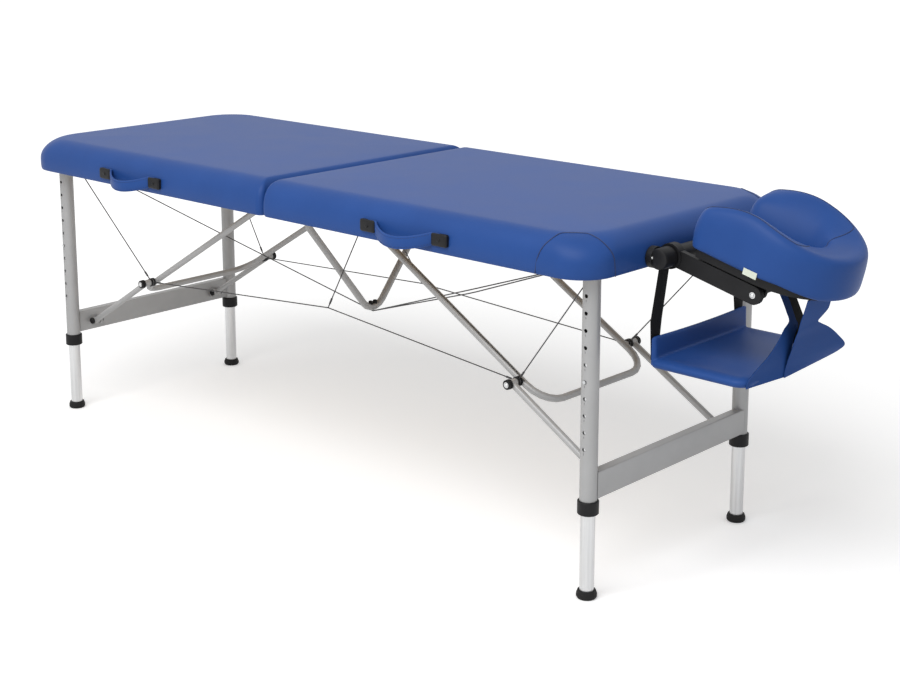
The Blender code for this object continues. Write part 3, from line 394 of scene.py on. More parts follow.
# Shapes
def fillet(before, corner, after, radius, steps):
    """Points on the arc that rounds a corner between two straight runs."""
    back = (before - corner).normalized()
    ahead = (after - corner).normalized()
    half = back.angle(ahead) / 2
    reach = radius / math.tan(half)
    centre = corner + (back + ahead).normalized() * radius / math.sin(half)
    start = corner + back * reach - centre
    end = corner + ahead * reach - centre
    turn = math.pi - 2 * half
    points = []
    for step in range(steps + 1):
        part = step / steps
        swing = start * math.sin((1 - part) * turn) + end * math.sin(part * turn)
        points.append(centre + swing / math.sin(turn))
    return points


def rounded(corners, radii, steps=6, straights=None, closed=True):
    """An outline or path through corners, each with its own radius, and straights cut in equal steps."""
    corners = [Vector(corner) for corner in corners]
    count = len(corners)
    stretches = []
    for index, corner in enumerate(corners):
        ends_here = not closed and index in (0, count - 1)
        if ends_here or radii[index] == 0:
            stretches.append([corner])
        else:
            after = corners[(index + 1) % count]
            stretches.append(fillet(corners[index - 1], corner, after, radii[index], steps))
    points = []
    for index, stretch in enumerate(stretches):
        points += stretch
        if straights and (closed or index < count - 1):
            start = stretch[-1]
            end = stretches[(index + 1) % count][0]
            points += [start.lerp(end, step / straights[index]) for step in range(1, straights[index])]
    return points


def oblong(near, far, half, height, radii, steps, straights):
    """A level outline with one corner radius at its near end and one at its far end."""
    corners = [(near, -half, height), (far, -half, height), (far, half, height), (near, half, height)]
    return rounded(corners, [radii[0], radii[1], radii[1], radii[0]], steps, straights)


def smooth_line(points, steps, closed=False):
    """A smooth curve through points."""
    points = [Vector(point) for point in points]
    count = len(points)
    line = []
    for index in range(count if closed else count - 1):
        around = []
        for offset in (-1, 0, 1, 2):
            spot = index + offset
            around.append(points[spot % count] if closed else points[min(max(spot, 0), count - 1)])
        before, start, end, after = around
        for step in range(steps):
            t = step / steps
            bend = 2 * before - 5 * start + 4 * end - after
            twist = 3 * start - before - 3 * end + after
            line.append(start + ((end - before) * t + bend * t * t + twist * t ** 3) / 2)
    if not closed:
        line.append(points[-1])
    return line


def loft(rings):
    """A skin through rings of points, capped at both ends."""
    bm = bmesh.new()
    loops = [[bm.verts.new(point) for point in ring] for ring in rings]
    bm.faces.new(loops[0])
    bm.faces.new(loops[-1])
    for low, high in zip(loops, loops[1:]):
        for index in range(len(low)):
            after = (index + 1) % len(low)
            bm.faces.new((low[index], low[after], high[after], high[index]))
    bmesh.ops.recalc_face_normals(bm, faces=bm.faces)
    return bm


def frames_along(path, side):
    """Each point of a path with its side and normal directions."""
    frames = []
    for index, point in enumerate(path):
        before = path[max(index - 1, 0)]
        after = path[min(index + 1, len(path) - 1)]
        along = (after - before).normalized()
        across = (side - along * side.dot(along)).normalized()
        frames.append((point, across, along.cross(across)))
    return frames


def tube(path, radii, side, sides=10):
    """A round bar along a path, with its radius at each point."""
    path = [Vector(point) for point in path]
    if isinstance(radii, float):
        radii = [radii] * len(path)
    rings = []
    for (point, across, normal), radius in zip(frames_along(path, Vector(side)), radii):
        ring = []
        for index in range(sides):
            angle = 2 * math.pi * index / sides
            ring.append(point + across * radius * math.cos(angle) + normal * radius * math.sin(angle))
        rings.append(ring)
    return loft(rings)


def strap(path, side, widths, thick, edge=4):
    """A flat strap along a path with rounded edges, its width laid in the direction of side."""
    path = [Vector(point) for point in path]
    rings = []
    for (point, across, normal), width in zip(frames_along(path, Vector(side)), widths):
        flat = width / 2 - thick / 2
        ring = []
        for turn in (0, 1):
            for step in range(edge + 1):
                angle = math.pi * (turn + step / edge) - math.pi / 2
                offset = flat * (1 - 2 * turn) + math.cos(angle) * thick / 2
                ring.append(point + across * offset + normal * math.sin(angle) * thick / 2)
        rings.append(ring)
    return loft(rings)


def lathe(profile, start, along, sides=32):
    """A profile of radius and height turned about an axis."""
    turn = Vector(along).to_track_quat("Z", "Y").to_matrix()
    rings = []
    for radius, height in profile:
        ring = []
        for index in range(sides):
            angle = 2 * math.pi * index / sides
            spot = Vector((radius * math.cos(angle), radius * math.sin(angle), height))
            ring.append(Vector(start) + turn @ spot)
        rings.append(ring)
    return loft(rings)


def join(*shapes):
    """Several closed shapes in one mesh."""
    bm = bmesh.new()
    for shape in shapes:
        mesh = bpy.data.meshes.new("part")
        shape.to_mesh(mesh)
        shape.free()
        bm.from_mesh(mesh)
        bpy.data.meshes.remove(mesh)
    return bm


def new_object(name, data):
    """An object in the scene."""
    obj = bpy.data.objects.new(name, data)
    scene.collection.objects.link(obj)
    return obj


def piece(name, shape, slot, body=None, sx=1, sy=1, hides=()):
    """An object made of a shape, mirrored to its end and side, finished, and riding on its body."""
    bmesh.ops.scale(shape, vec=(sx, sy, 1), verts=shape.verts)
    if sx * sy < 0:
        bmesh.ops.reverse_faces(shape, faces=shape.faces)
    bmesh.ops.translate(shape, vec=MID, verts=shape.verts)
    mesh = bpy.data.meshes.new(name)
    shape.to_mesh(mesh)
    shape.free()
    mesh.shade_smooth()
    mesh.set_sharp_from_angle(angle=SMOOTH_ANGLE)
    mesh.materials.append(materials[slot])
    obj = new_object(name, mesh)
    if hides:
        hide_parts(*hides)
    if body:
        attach(obj, body)
    return obj


# Solid pieces of the model
def soften_group():
    """Merges a solid's facets and shades them smooth, apart from its real edges."""
    group = bpy.data.node_groups.new("soften", "GeometryNodeTree")
    for way in ("INPUT", "OUTPUT"):
        group.interface.new_socket("Geometry", in_out=way, socket_type="NodeSocketGeometry")
    source = add(group, "NodeGroupInput")
    result = add(group, "NodeGroupOutput")
    merge = add(group, "GeometryNodeMergeByDistance", Distance=FACET_MERGE)
    faces = add(group, "GeometryNodeSetShadeSmooth")
    edges = add(group, "GeometryNodeSetShadeSmooth", **{"Shade Smooth": False})
    edges.domain = "EDGE"
    angle = add(group, "GeometryNodeInputMeshEdgeAngle")
    sharp = add(group, "FunctionNodeCompare", B=SMOOTH_ANGLE)
    chain = (source, merge, faces, edges, result)
    for before, after in zip(chain, chain[1:]):
        wire(group, before, "Geometry", after, "Geometry")
    wire(group, angle, "Unsigned Angle", sharp, "A")
    wire(group, sharp, "Result", edges, "Selection")
    return group


def dress_solids():
    """Give every solid its finish and its smooth shading."""
    group = soften_group()
    for part in frame["record"]["subparts"]:
        obj = frame["nodes"][part["node"]]
        obj.data.materials.clear()
        obj.data.materials.append(materials[part["material_slot"]])
        soften = obj.modifiers.new("soften", "NODES")
        soften.node_group = group


# Upholstery of the two halves
def shoulder_rise(height):
    """How far up the shoulder a height is, from 0 to 1."""
    rise = (height - SHOULDER_LOW) / (SHOULDER_HIGH - SHOULDER_LOW)
    return min(max(rise, 0.0), 1.0)


def plan(inset, seam_inset, height):
    """The outline of the head half, drawn in from its edge."""
    near = SEAM + seam_inset
    far = HALF_LENGTH - max(inset, 0.0)     # flat at the ends, where the headrest's arms turn close by
    outer = max(CORNER + CORNER_SOFT * shoulder_rise(height) ** 2 - inset, LEAST_CORNER)
    inner = max(SEAM_CORNER - seam_inset, LEAST_CORNER)
    return oblong(near, far, HALF_WIDTH - inset, height, (inner, outer), COVER_STEPS, COVER_STRAIGHTS)


def draw_in(height):
    """How far the shoulder has drawn in at a height."""
    return SHOULDER_IN * (1 - math.sqrt(1 - shoulder_rise(height) ** 2))


def cover_shape():
    """Vinyl over foam: a closed pad with a recess below for the board and its rails."""
    lower = [(CARCASS, BOARD_TOP)]
    lower += [(inset, UNDERSIDE + rise) for inset, rise in COVER_HEM]
    lower.append((-SHOULDER_BULGE, SHOULDER_LOW))
    rings = [plan(inset, inset, height) for inset, height in lower]
    for step in range(1, SHOULDER_STEPS + 1):
        angle = math.pi / 2 * step / SHOULDER_STEPS
        inset = SHOULDER_IN * (1 - math.cos(angle))
        height = SHOULDER_LOW + (SHOULDER_HIGH - SHOULDER_LOW) * math.sin(angle)
        rings.append(plan(inset, inset * SEAM_SHARE, height))
    last = CROWN_INSETS[-1]
    for inset in CROWN_INSETS:
        rise = 1 - ((last - inset) / (last - SHOULDER_IN)) ** 2
        height = SHOULDER_HIGH + (TOP - SHOULDER_HIGH) * rise
        rings.append(plan(inset, inset - SHOULDER_IN * (1 - SEAM_SHARE), height))
    return loft(rings)


def corner_point(along, height):
    """A point on the cover near its front corner, by the length along the side and the height."""
    angle = min(max(along / CORNER, 0.0), math.pi / 2) - math.pi / 2
    past = max(along - CORNER * math.pi / 2, 0.0)
    middle = Vector((HALF_LENGTH - CORNER, CORNER - HALF_WIDTH, height))
    x = math.cos(angle) * CORNER + min(along, 0.0)
    y = math.sin(angle) * CORNER + past
    spot = middle + Vector((x, y, 0))
    inset = draw_in(height)
    soft = CORNER_SOFT * shoulder_rise(height) ** 2
    middle += Vector((-soft, soft, 0))
    if spot.x < middle.x:
        return Vector((spot.x, inset - HALF_WIDTH, height))
    if spot.y > middle.y:
        return Vector((HALF_LENGTH - inset, spot.y, height))
    return middle + (spot - middle).normalized() * (CORNER + soft - inset)


def corner_seam_shape():
    """The stitched line round a corner patch, a dark bead whose colour is partly the seam and partly
    painted shade of its groove.
    """
    quarter = CORNER * math.pi / 2
    low = UNDERSIDE + PATCH_RISE
    route = [(PATCH_FEET[0], low), *PATCH_SIDE]
    route += [(quarter * share, height) for share, height in PATCH_ARC]
    route += [(quarter + along, height) for along, height in PATCH_END]
    route.append((quarter + PATCH_FEET[1], low))
    flat = smooth_line([(along, height, 0) for along, height in route], steps=8)
    path = [corner_point(spot.x, spot.y) for spot in flat]
    return tube(path, PATCH_RADIUS, PATCH_ACROSS, sides=8)


def make_covers():
    for end, sx in ENDS.items():
        panel = end + "_panel"
        hides = ["cushion_" + end, "skirt_" + end]
        cover = piece("cover_" + end, cover_shape(), "padding", panel, sx, 1, hides)
    for side, sy in SIDES.items():
        piece("corner_seam_" + side, corner_seam_shape(), "thread_and_seam_shade", "right_panel", 1, -sy)


# Carrying straps
def handle_path(end):
    """The middle line of a carrying strap, flat at both ends and bowed out between them."""
    near, far, height = HANDLES[end]
    face = -HALF_WIDTH - HANDLE_OFF
    path = []
    free = far - near - 2 * HANDLE_FLAT
    for step in range(HANDLE_STEPS + 1):
        part = step / HANDLE_STEPS
        bulge = math.sin(math.pi * part) ** HANDLE_CURVE
        spot = Vector((near + HANDLE_FLAT + free * part, face, height))
        path.append(spot - Vector((0, HANDLE_BULGE, HANDLE_DROOP)) * bulge)
    return [Vector((near, face, height))] + path + [Vector((far, face, height))]


def stitches(path, side, offset, lift):
    """A row of short threads on a strap, at an offset across it."""
    shapes = []
    frames = frames_along(path, Vector(side))
    gone = 0.0
    for (start, across, normal), (end, next_across, next_normal) in zip(frames, frames[1:]):
        run = (end - start).length
        along = (end - start).normalized() * STITCH_LENGTH / 2
        while gone < run:
            part = gone / run
            spot = start.lerp(end, part)
            spot += across.lerp(next_across, part) * offset + normal.lerp(next_normal, part) * lift
            shapes.append(tube([spot - along, spot + along], STITCH_THICK, side, sides=6))
            gone += STITCH_PITCH
        gone -= run
    return shapes


def end_plate_shapes(x, height):
    """A moulded plate that holds one end of a carrying strap, and its screw."""
    wide = PLATE_SIZE[0] / 2
    tall = PLATE_SIZE[1] / 2
    rings = []
    for grow, depth in PLATE_PROFILE:
        y = -HALF_WIDTH - PLATE_OFF - depth
        corners = [(x + sx * (wide + grow), y, height + sz * (tall + grow)) for sx, sz in SQUARE]
        rings.append(rounded(corners, [PLATE_CORNER] * 4))
    screw = lathe(PLATE_SCREW, (x, -HALF_WIDTH - PLATE_DEPTH, height), (0, -1, 0), sides=20)
    return [loft(rings), screw]


def make_handles():
    for end in ENDS:
        panel = end + "_panel"
        path = handle_path(end)
        band = strap(path, (0, 0, 1), [HANDLE_WIDTH] * len(path), HANDLE_THICK)
        handle = piece("carry_strap_" + end, band, "padding", panel, hides=["handle_" + end])
        rows = []
        for offset in (-HANDLE_WIDTH / 2 + STITCH_IN, HANDLE_WIDTH / 2 - STITCH_IN):
            for lift in (-HANDLE_THICK / 2, HANDLE_THICK / 2):
                rows += stitches(path, (0, 0, 1), offset, lift)
        piece("carry_stitches_" + end, join(*rows), "thread_and_seam_shade", panel)
        near, far, height = HANDLES[end]
        plates = end_plate_shapes(near, height) + end_plate_shapes(far, height)
        piece("carry_plates_" + end, join(*plates), "black_plastic", panel)


# Cables
def cable_shape(points, radii, side):
    """A steel cable along a rounded path, with a crimped ferrule near its first end."""
    path = rounded(points, radii, steps=6, straights=[24] * len(points), closed=False)
    lengths = [0.0]
    for start, end in zip(path, path[1:]):
        lengths.append(lengths[-1] + (end - start).length)
    ferrule = []
    for spot in (FERRULE_START, FERRULE_START + FERRULE_LENGTH):
        ferrule += [spot - FERRULE_STEP, spot + FERRULE_STEP]
    line = []
    thick = []
    for spot in sorted(lengths + ferrule):
        index = max(i for i, length in enumerate(lengths) if length <= spot + ROUNDING)
        index = min(index, len(path) - 2)
        part = (spot - lengths[index]) / (lengths[index + 1] - lengths[index])
        line.append(path[index].lerp(path[index + 1], part))
        crimped = FERRULE_START < spot < FERRULE_START + FERRULE_LENGTH
        thick.append(FERRULE_RADIUS if crimped else CABLE_RADIUS)
    return tube(line, thick, side, sides=8)


def knee_towards(x, z):
    """The point beside the knee where a cable that runs towards X, Z ends."""
    toward = Vector((x - KNEE[0], z - KNEE[1])).normalized() * KNEE_CLEAR
    return KNEE[0] + toward.x, KNEE[1] + toward.y


def make_cables():
    """Side cables between each knee and its panel's anchor, the ridge's ties and stays, and the bow's
    strands.
    """
    node = (RIDGE_X, *RIDGE_NODE)
    for side, sy in SIDES.items():
        tie = cable_shape([node, (RIDGE_X, *RIDGE_TOP)], [0, 0], RIDGE_ACROSS)
        piece("ridge_tie_" + side, tie, "cable_steel", "hinge_core", 1, sy, ["ridge_cable_" + side])
    for end, sx in ENDS.items():
        panel = end + "_panel"
        x, z = knee_towards(ANCHOR[0], ANCHOR[2])
        knee = (x, SIDE_CABLE_Y, z)
        for side, sy in SIDES.items():
            name = "side_cable_" + end + "_" + side
            shape = cable_shape([knee, ANCHOR], [0, 0], (0, 1, 0))
            obj = piece("stay_" + end + "_" + side, shape, "cable_steel", None, sx, sy, [name])
            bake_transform(obj)
        x, z = knee_towards(0, RIDGE_NODE[1])
        for side, sy in SIDES.items():
            points = [(x, RIDGE_CABLE_Y, z), (RIDGE_X * sx, *RIDGE_NODE)]
            shape = cable_shape(points, [0, 0], RIDGE_ACROSS)
            name = "ridge_stay_" + end + "_" + side
            obj = piece(name, shape, "cable_steel", panel, sx, sy, ["ridge_cable_" + side])
            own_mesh(obj)
        for name, sag in BOW_STRANDS[end]:
            middle = Vector(BOW_ANCHOR).lerp(Vector((0, 0, BOW_DIP)), 0.5) - Vector((0, 0, sag))
            shape = cable_shape([BOW_ANCHOR, middle, (0.0, 0.0, BOW_DIP)], [0, BOW_ROUND, 0], (0, 1, 0))
            obj = piece("bow_" + name + "_" + end, shape, "cable_steel", panel, sx, -1, ["bow_cable"])
            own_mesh(obj)


# Fittings
def dome(start, along, radius, height):
    """A bolt or screw head."""
    profile = [(radius * wide, height * tall) for wide, tall in BOLT_HEAD]
    return lathe(profile, start, along, sides=24)


def knee_shapes():
    """Black rings at a knee: two on the brace's spacer, and one with its cap outside the strut."""
    spools = []
    for start in (SPOOL_START, SPOOL_START + SPOOL_STEP):
        spools.append(lathe(KNEE_RING, (KNEE[0], start, KNEE[1]), (0, 1, 0)))
    return join(*spools), lathe(KNEE_CAP, (KNEE[0], STRUT_FACE, KNEE[1]), (0, 1, 0))


def leg_marks_shape():
    """A short printed mark under each height hole."""
    half_wide = MARK_SIZE[0] / 2 / LEG_RADIUS
    half_tall = MARK_SIZE[1] / 2
    marks = []
    for index in range(HOLE_COUNT):
        height = HOLE_TOP_Z - index * HOLE_PITCH - MARK_DROP
        rings = []
        for depth in MARK_DEPTH:
            radius = LEG_RADIUS + depth
            ring = []
            for turn, tall in SQUARE:
                angle = math.pi / 2 + turn * half_wide
                x = LEG_X + radius * math.cos(angle)
                ring.append((x, LEG_Y + radius * math.sin(angle), height + tall * half_tall))
            rings.append(ring)
        marks.append(loft(rings))
    return join(*marks)


def strut_caps_shape():
    """Black caps on both faces of a strut's foot."""
    caps = []
    for y, deep in STRUT_CAPS:
        profile = [(radius, height * abs(deep)) for radius, height in STRUT_CAP]
        caps.append(lathe(profile, (STRUT_FOOT[0], y, STRUT_FOOT[1]), (0, deep, 0)))
    return join(*caps)


def make_fittings():
    bumpers = [lathe(BUMPER, (0, y, BOW_INSIDE_Z), (0, 0, 1), sides=20) for y in (-BUMPER_Y, BUMPER_Y)]
    piece("bow_bumpers", join(*bumpers), "black_rubber", "hinge_core")
    for end, sx in ENDS.items():
        for side, sy in SIDES.items():
            tag = end + "_" + side
            spools, cap = knee_shapes()
            piece("knee_spools_" + tag, spools, "black_plastic", end + "_brace", sx, sy)
            piece("knee_cap_" + tag, cap, "black_plastic", end + "_struts", sx, sy)
            bolt = dome((KNEE[0], STRUT_FACE + KNEE_BOLT_OUT, KNEE[1]), (0, 1, 0), *KNEE_BOLT)
            piece("knee_bolt_" + tag, bolt, "bright_aluminium", end + "_struts", sx, sy)
            piece("leg_marks_" + tag, leg_marks_shape(), "mark", end + "_legs", sx, sy)
            piece("strut_caps_" + tag, strut_caps_shape(), "black_plastic", end + "_legs", sx, sy)


# Headrest
def on_slope(point):
    """A point of the headrest, written level about its cross tube, on the slope."""
    return HUB + Matrix.Rotation(SLOPE, 3, "Y") @ Vector(point)


def make_hubs():
    """Round shoulders and screws of the hubs, and the bolt heads on the arms."""
    for side, sy in SIDES.items():
        shape = lathe(SLEEVE, (HUB.x, SLEEVE_Y, HUB.z), (0, 1, 0))
        piece("hub_sleeve_" + side, shape, "black_plastic", "headrest_mount", 1, sy)
        screw = dome((DISC_X - SUNK, POST_Y + SCREW_OUT, HUB.z + SCREW_RISE), (1, 0, 0), *HUB_SCREW)
        piece("hub_screw_" + side, screw, "bright_aluminium", "headrest_mount", 1, sy)
        bolt = dome(on_slope((ROD_REACH, ARM_FACE - SUNK, 0)), (0, 1, 0), *ARM_BOLT)
        piece("arm_bolt_" + side, bolt, "bright_aluminium", "headrest_tilt", 1, sy)


def pad_line():
    """The U-shaped middle line of the face cushion, as points and outward directions."""
    line = []
    start = PAD_START + PAD_FIRST
    for step in range(ARM_STEPS):
        part = 1 - math.cos(math.pi / 2 * step / ARM_STEPS)
        line.append((Vector((start + (PAD_CENTRE - start) * part, -PAD_ARM, 0)), Vector((0, -1, 0))))
    for step in range(BEND_STEPS + 1):
        angle = math.pi * step / BEND_STEPS
        out = Vector((math.sin(angle), -math.cos(angle), 0))
        line.append((Vector((PAD_CENTRE, 0, 0)) + out * PAD_ARM, out))
    for point, out in reversed(line[:ARM_STEPS]):
        line.append((Vector((point.x, -point.y, 0)), -out))
    return line


def pad_arch(point):
    """How far a place on the middle line has the form of an arched limb."""
    off = point.x - PAD_ARCH_AT
    off /= PAD_ARCH_REACH[0 if off < 0 else 1]
    return max(0.0, 1 - off * off) ** 2


def pad_ring(point, out):
    """One section of the face cushion, lower and narrower towards the ends of its limbs."""
    arch = pad_arch(point)
    from_end = (point.x - PAD_START) / PAD_END_ROUND
    shrink = math.sqrt(1 - (1 - from_end) ** 2) if from_end < 1 else 1.0
    tall = (PAD_HIGH + PAD_ARCH * arch - PAD_LOW) * (PAD_END_HEIGHT + (1 - PAD_END_HEIGHT) * shrink)
    hang = min(max((point.x - PAD_SKIRT_FROM) / PAD_SKIRT_OVER, 0.0), 1.0)
    corners = []
    for limb, end in zip(PAD_LIMB, PAD_END):
        share = end[1] if end[1] > 0 else end[1] * hang
        corners.append(Vector((end[0], share, 0)).lerp(Vector((*limb, 0)), arch))
    ring = []
    for spot in smooth_line(corners, PAD_FINE, closed=True):
        share = max(spot.y, 0.0) if spot.x < PLATFORM_SHARE else spot.y
        lean = (1 - shrink) * PAD_END_LEAN * ((share - PAD_END_MIDDLE) / (1 - PAD_END_MIDDLE)) ** 2
        lift = Vector((lean, 0, PAD_LOW + share * tall))
        ring.append(on_slope(point + out * PAD_HALF * spot.x * shrink + lift))
    return ring


def between(rings, along, around):
    """A point on the cushion's skin, between its rings and their points."""
    low = min(int(along), len(rings) - 2)
    corner = min(int(around), len(rings[0]) - 2)
    spots = []
    for ring in rings[low:low + 2]:
        spots.append(ring[corner].lerp(ring[corner + 1], around - corner))
    return spots[0].lerp(spots[1], along - low)


def seam_path(rings):
    """The seam along the crest of each limb, which crosses to the inner rim round the far end."""
    rim_turn, crest_turn = SEAM_TURN
    path = []
    for index in range(1, len(rings) - 1):
        turn = abs(index - ARM_STEPS - BEND_STEPS / 2) / BEND_STEPS * math.pi
        part = min(max((turn - rim_turn) / (crest_turn - rim_turn), 0.0), 1.0)
        path.append(between(rings, index, (RIM + (CREST - RIM) * part) * PAD_FINE))
    return path


def tag_shape():
    """A blank sewn label at the lower edge of the near limb."""
    half_long = TAG_SIZE[0] / 2
    below, above = TAG_REACH
    rings = []
    for depth in TAG_DEPTH:
        ring = []
        for along, lift in ((-1, below), (1, below), (1, above), (-1, above)):
            reach = TAG_AT + along * half_long
            height = PAD_LOW + TAG_RISE + lift * TAG_SIZE[1]
            ring.append(on_slope((reach, -PAD_ARM - PAD_HALF - depth, height)))
        rings.append(ring)
    return loft(rings)


def make_face_cushion():
    rings = [pad_ring(point, out) for point, out in pad_line()]
    cushion = piece("face_pad", loft(rings), "padding", "headrest_pad", hides=["face_cushion"])
    up = on_slope((0, 0, 1)) - HUB
    # The piping along the crest is darker than the cover: partly the seam itself, partly painted shade
    # beside it.
    piece("face_seam", tube(seam_path(rings), PIPING_RADIUS, up, sides=8), "thread_and_seam_shade", "headrest_pad")
    piece("face_tag", tag_shape(), "tag", "headrest_pad")


# Forearm shelf
def shelf_plan(inset, height):
    """The outline of the shelf, drawn in from its edge."""
    near = SHELF_X[0] + inset
    far = SHELF_X[1] - inset
    radii = [max(radius - inset, SHELF_LEAST_ROUND) for radius in SHELF_ROUND]
    return oblong(near, far, SHELF_HALF - inset, height, radii, SHELF_STEPS, SHELF_STRAIGHTS)


def shelf_pad_shape():
    """A padded board whose top sinks a little from its rolled edges."""
    half = (SHELF_HIGH - SHELF_LOW) / 2
    rings = []
    for step in range(SHELF_ROLL_STEPS + 1):
        angle = math.pi * step / SHELF_ROLL_STEPS - math.pi / 2
        roll = half * SHELF_ROLL[0 if angle < 0 else 1]
        inset = roll * (1 - math.cos(angle)) + SHELF_INSIDE
        rings.append(shelf_plan(inset, SHELF_LOW + half + half * math.sin(angle)))
    for inset, sink in SHELF_SINK:
        rings.append(shelf_plan(inset, SHELF_HIGH - sink))
    return loft(rings)


def lip_shape():
    """The upright lip, thin and soft at its top, with rounded ends and a soft fold at its foot."""
    inner_sink, foot_sink = LIP_FOLD_SINK
    rings = []
    for step in range(LIP_STEPS + 1):
        part = -math.cos(math.pi * step / LIP_STEPS)
        y = part * LIP_HALF
        close = max(0.0, abs(part) - 1 + LIP_END) / LIP_END
        thick = LIP_THICK * (1 - LIP_END_THIN * close * close)
        fold = LIP_FOLD * (1 - LIP_FOLD_LOSS * close)
        drop = LIP_SAG * (1 - part * part) + LIP_END_DROP * (1 - math.sqrt(1 - close * close))
        high = LIP_HIGH - drop
        near = LIP_NEAR + LIP_END_IN * close
        inner = near + thick
        foot = inner + 2 * fold
        corners = [(near, y, LIP_BASE), (foot, y, LIP_BASE), (foot, y, SHELF_HIGH - foot_sink),
                   (inner, y, SHELF_HIGH - inner_sink), (near + thick * LIP_TOP[1], y, high),
                   (near + thick * LIP_TOP[0], y, high)]
        radii = [0, 0, 0, fold, thick * LIP_ROUND, thick * LIP_ROUND]
        rings.append(rounded(corners, radii, steps=5, straights=(2, 1, 1, 5, 1, 5)))
    return loft(rings)


def strap_widths(path):
    """The webbing's width at each point, widest at its middle."""
    heights = [point[2] for point in STRAP]
    widths = []
    for point in path:
        end = 0 if point.z > heights[1] else 2
        part = (point.z - heights[1]) / (heights[end] - heights[1])
        widths.append(STRAP_WIDTHS[1] + (STRAP_WIDTHS[end] - STRAP_WIDTHS[1]) * part)
    return widths


def sling_edges():
    """Both edges of each sling layer, from the hem at the shelf's edge up to the platform or the rod."""
    far_top = on_slope(SLING_FAR_TOP)
    near_top = on_slope(SLING_NEAR_TOP)
    turned_x = near_top.x - SLING_TURNED_BACK
    far = ([(1.1705, -0.040, 0.4665), (1.1705, -0.036, 0.484), (1.177, -0.037, 0.506),
            (1.186, -0.040, 0.528), (1.1945, -0.045, 0.550), (1.203, -0.050, 0.566),
            (1.2075, -0.054, 0.577), (1.214, -0.060, 0.591), (1.224, -0.067, 0.612),
            (far_top.x, -0.077, far_top.z)],
           [(1.158, 0.146, 0.4670), (1.170, 0.170, 0.478), (1.183, 0.168, 0.494),
            (1.191, 0.126, 0.522), (1.198, 0.078, 0.549), (1.2055, 0.030, 0.569),
            (1.2085, 0.013, 0.578), (1.2135, 0.022, 0.589), (1.2215, 0.029, 0.605),
            (far_top.x, 0.012, far_top.z)])
    near = ([(1.160, -0.158, 0.4690), (1.1635, -0.156, 0.486), (1.1705, -0.132, 0.508),
             (1.172, -0.104, 0.522), (1.174, -0.073, 0.546), (1.1735, -0.052, 0.566),
             (1.1695, -0.028, 0.577), (1.162, -0.026, 0.593), (1.154, -0.026, 0.610),
             (near_top.x, -0.028, near_top.z)],
            [(1.168, -0.034, 0.4665), (1.168, -0.026, 0.486), (1.170, -0.020, 0.506),
             (1.172, -0.018, 0.524), (1.1735, -0.014, 0.546), (1.1735, -0.002, 0.564),
             (1.1695, -0.005, 0.577), (1.162, -0.004, 0.593), (1.154, -0.004, 0.610),
             (near_top.x, -0.006, near_top.z)])
    turned = ([(1.170, -0.024, 0.530), (1.1715, -0.012, 0.556), (1.167, -0.009, 0.577),
               (1.159, -0.008, 0.594), (1.151, -0.008, 0.611), (turned_x, -0.009, near_top.z)],
              [(1.170, -0.004, 0.528), (1.1705, 0.020, 0.553), (1.166, 0.032, 0.572),
               (1.159, 0.030, 0.592), (1.151, 0.028, 0.611), (turned_x, 0.024, near_top.z)])
    return far, near, turned


def sling_shape(edges, rows, trim, lift):
    """One thin layer of a sling between its two edges, from the first to the last of its rows."""
    left, right = [smooth_line(edge, SLING_STEPS) for edge in edges]
    rings = []
    for index, (start, end) in enumerate(zip(left, right)):
        before = max(index - 1, 0)
        after = min(index + 1, len(left) - 1)
        along = left[after] + right[after] - left[before] - right[before]
        across = (end - start).normalized()
        normal = across.cross(along).normalized()
        front = []
        back = []
        for step in range(SLING_ACROSS + 1):
            spot = (start + across * trim).lerp(end - across * trim, step / SLING_ACROSS)
            front.append(spot + normal * (lift + SLING_THICK / 2))
            back.append(spot + normal * (lift - SLING_THICK / 2))
        rings.append(front + back[::-1])
    first, last = rows
    return loft(rings[first * SLING_STEPS:last * SLING_STEPS + 1])


def make_sling(name, shape, slot, hides=()):
    """A layer of a sling, with its placing baked into its mesh."""
    layer = piece(name, shape, slot, hides=hides)
    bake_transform(layer)
    return layer


def make_slings():
    """Both slings of the shelf: the far one is tied to the platform, the near one to the arms' rod."""
    far, near, turned = sling_edges()
    to_arms = ("headrest_mount", "headrest_tilt")
    to_platform = ("headrest_tilt", "headrest_top")
    top = len(far[0]) - 1
    layers = (("far", far, (0, SLING_SPLIT), to_arms, ["shelf_sling_far"]),
              ("far_top", far, (SLING_SPLIT, top), to_platform, ["shelf_sling_far"]),
              ("near", near, (0, top), to_arms, ["shelf_sling_near"]))
    for name, edges, rows, bodies, hides in layers:
        shape = sling_shape(edges, rows, 0.0, SLING_THICK / 2)
        face = make_sling("sling_" + name, shape, "sling_vinyl", hides)
        shape = sling_shape(edges, rows, SLING_HEM, -SLING_THICK / 2)
        lining = make_sling("sling_lining_" + name, shape, "black_webbing")
    rows = (0, len(turned[0]) - 1)
    shape = sling_shape(turned, rows, 0.0, -SLING_THICK / 2)
    fold = make_sling("sling_turned", shape, "black_webbing")


def make_shelf():
    shape = join(shelf_pad_shape(), lip_shape())
    shelf = piece("forearm_pad", shape, "padding", "headrest_mount", hides=["arm_shelf"])
    for side, sy in SIDES.items():
        path = rounded(STRAP, [0, STRAP_BEND, 0], steps=14, straights=(10, 10, 1), closed=False)
        shape = strap(path, (0, 1, 0), strap_widths(path), STRAP_THICK)
        hides = ["shelf_strap_" + side]
        webbing = piece("shelf_webbing_" + side, shape, "black_webbing", "headrest_mount", 1, sy, hides)


# Stage, light and camera
def seen_directly(tree):
    """1 where the camera, a reflection or clear glass looks, 0 for the light that surfaces pass on."""
    path = add(tree, "ShaderNodeLightPath")
    total = path.outputs["Is Camera Ray"]
    for name in ("Is Glossy Ray", "Is Transmission Ray"):
        most = add(tree, "ShaderNodeMath")
        most.operation = "MAXIMUM"
        tree.links.new(total, most.inputs[0])
        wire(tree, path, name, most, 1)
        total = most.outputs[0]
    return total


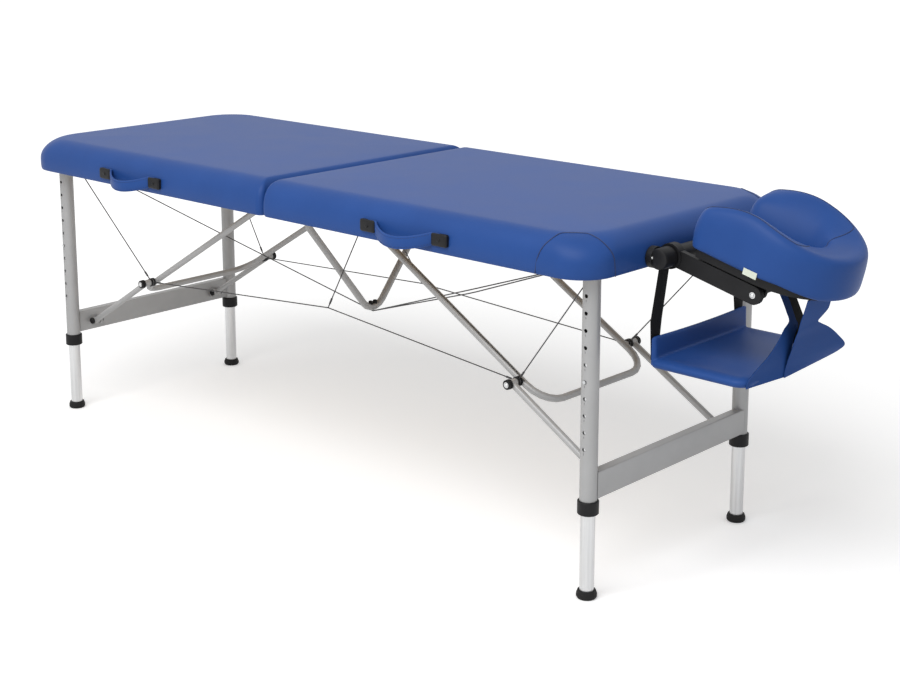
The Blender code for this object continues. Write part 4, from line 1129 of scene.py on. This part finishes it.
def make_floor():
    """A white floor that glows where it is looked at and still shows the object's shadow."""
    bm = bmesh.new()
    bmesh.ops.create_circle(bm, cap_ends=True, segments=64, radius=FLOOR_RADIUS)
    mesh = bpy.data.meshes.new("floor")
    bm.to_mesh(mesh)
    bm.free()
    floor = new_object("floor", mesh)
    floor.location = (0, 0, -FLOOR_DROP)
    made = bpy.data.materials.new("floor")
    made.use_nodes = True
    tree = made.node_tree
    tree.nodes.clear()
    result = add(tree, "ShaderNodeOutputMaterial")
    plain = add(tree, "ShaderNodeBsdfDiffuse", Color=FLOOR_GREY)
    seen = add(tree, "ShaderNodeBsdfDiffuse", Color=FLOOR_SEEN)
    glow = add(tree, "ShaderNodeEmission", Color=WHITE)
    place = add(tree, "ShaderNodeTexCoord")
    reach = add(tree, "ShaderNodeVectorMath")
    reach.operation = "LENGTH"
    fade = add(tree, "ShaderNodeMapRange", **FLOOR_GLOW)
    wire(tree, place, "Object", reach, 0)
    wire(tree, reach, "Value", fade, "Value")
    wire(tree, fade, "Result", glow, "Strength")
    both = add(tree, "ShaderNodeAddShader")
    pick = add(tree, "ShaderNodeMixShader")
    wire(tree, seen, 0, both, 0)
    wire(tree, glow, 0, both, 1)
    tree.links.new(seen_directly(tree), pick.inputs["Fac"])
    wire(tree, plain, 0, pick, 1)
    wire(tree, both, 0, pick, 2)
    wire(tree, pick, 0, result, "Surface")
    mesh.materials.append(made)


def make_world():
    """An even white studio, white where it is looked at and dimmer as a light."""
    world = bpy.data.worlds.new("studio")
    world.use_nodes = True
    tree = world.node_tree
    light = tree.nodes["Background"]
    light.inputs["Color"].default_value = WHITE
    level = add(tree, "ShaderNodeMapRange", **{"To Min": WORLD_LIGHT})
    tree.links.new(seen_directly(tree), level.inputs["Value"])
    wire(tree, level, "Result", light, "Strength")
    scene.world = world


def make_lamp():
    lamp = bpy.data.lights.new("key", "AREA")
    lamp.shape = "RECTANGLE"
    lamp.size, lamp.size_y = LAMP_SIZE
    lamp.energy = LAMP_POWER
    obj = new_object("key", lamp)
    obj.location = LAMP_PLACE
    obj.rotation_euler = (LAMP_AIM - LAMP_PLACE).to_track_quat("-Z", "Y").to_euler()


def make_camera():
    lens = bpy.data.cameras.new("camera")
    lens.sensor_width = SENSOR
    lens.lens = CAMERA_FOCAL_PIXELS / PHOTO_WIDTH * SENSOR
    lens.shift_y = CAMERA_SHIFT
    obj = new_object("camera", lens)
    obj.location = CAMERA_PLACE + MID
    obj.rotation_euler = (math.pi / 2 - CAMERA_TILT, 0, CAMERA_TURN)
    scene.camera = obj


make_materials()
dress_solids()
make_covers()
make_handles()
make_cables()
make_fittings()
make_hubs()
make_face_cushion()
make_shelf()
make_slings()
make_floor()
make_world()
make_lamp()
make_camera()
scene.view_settings.view_transform = "Standard"
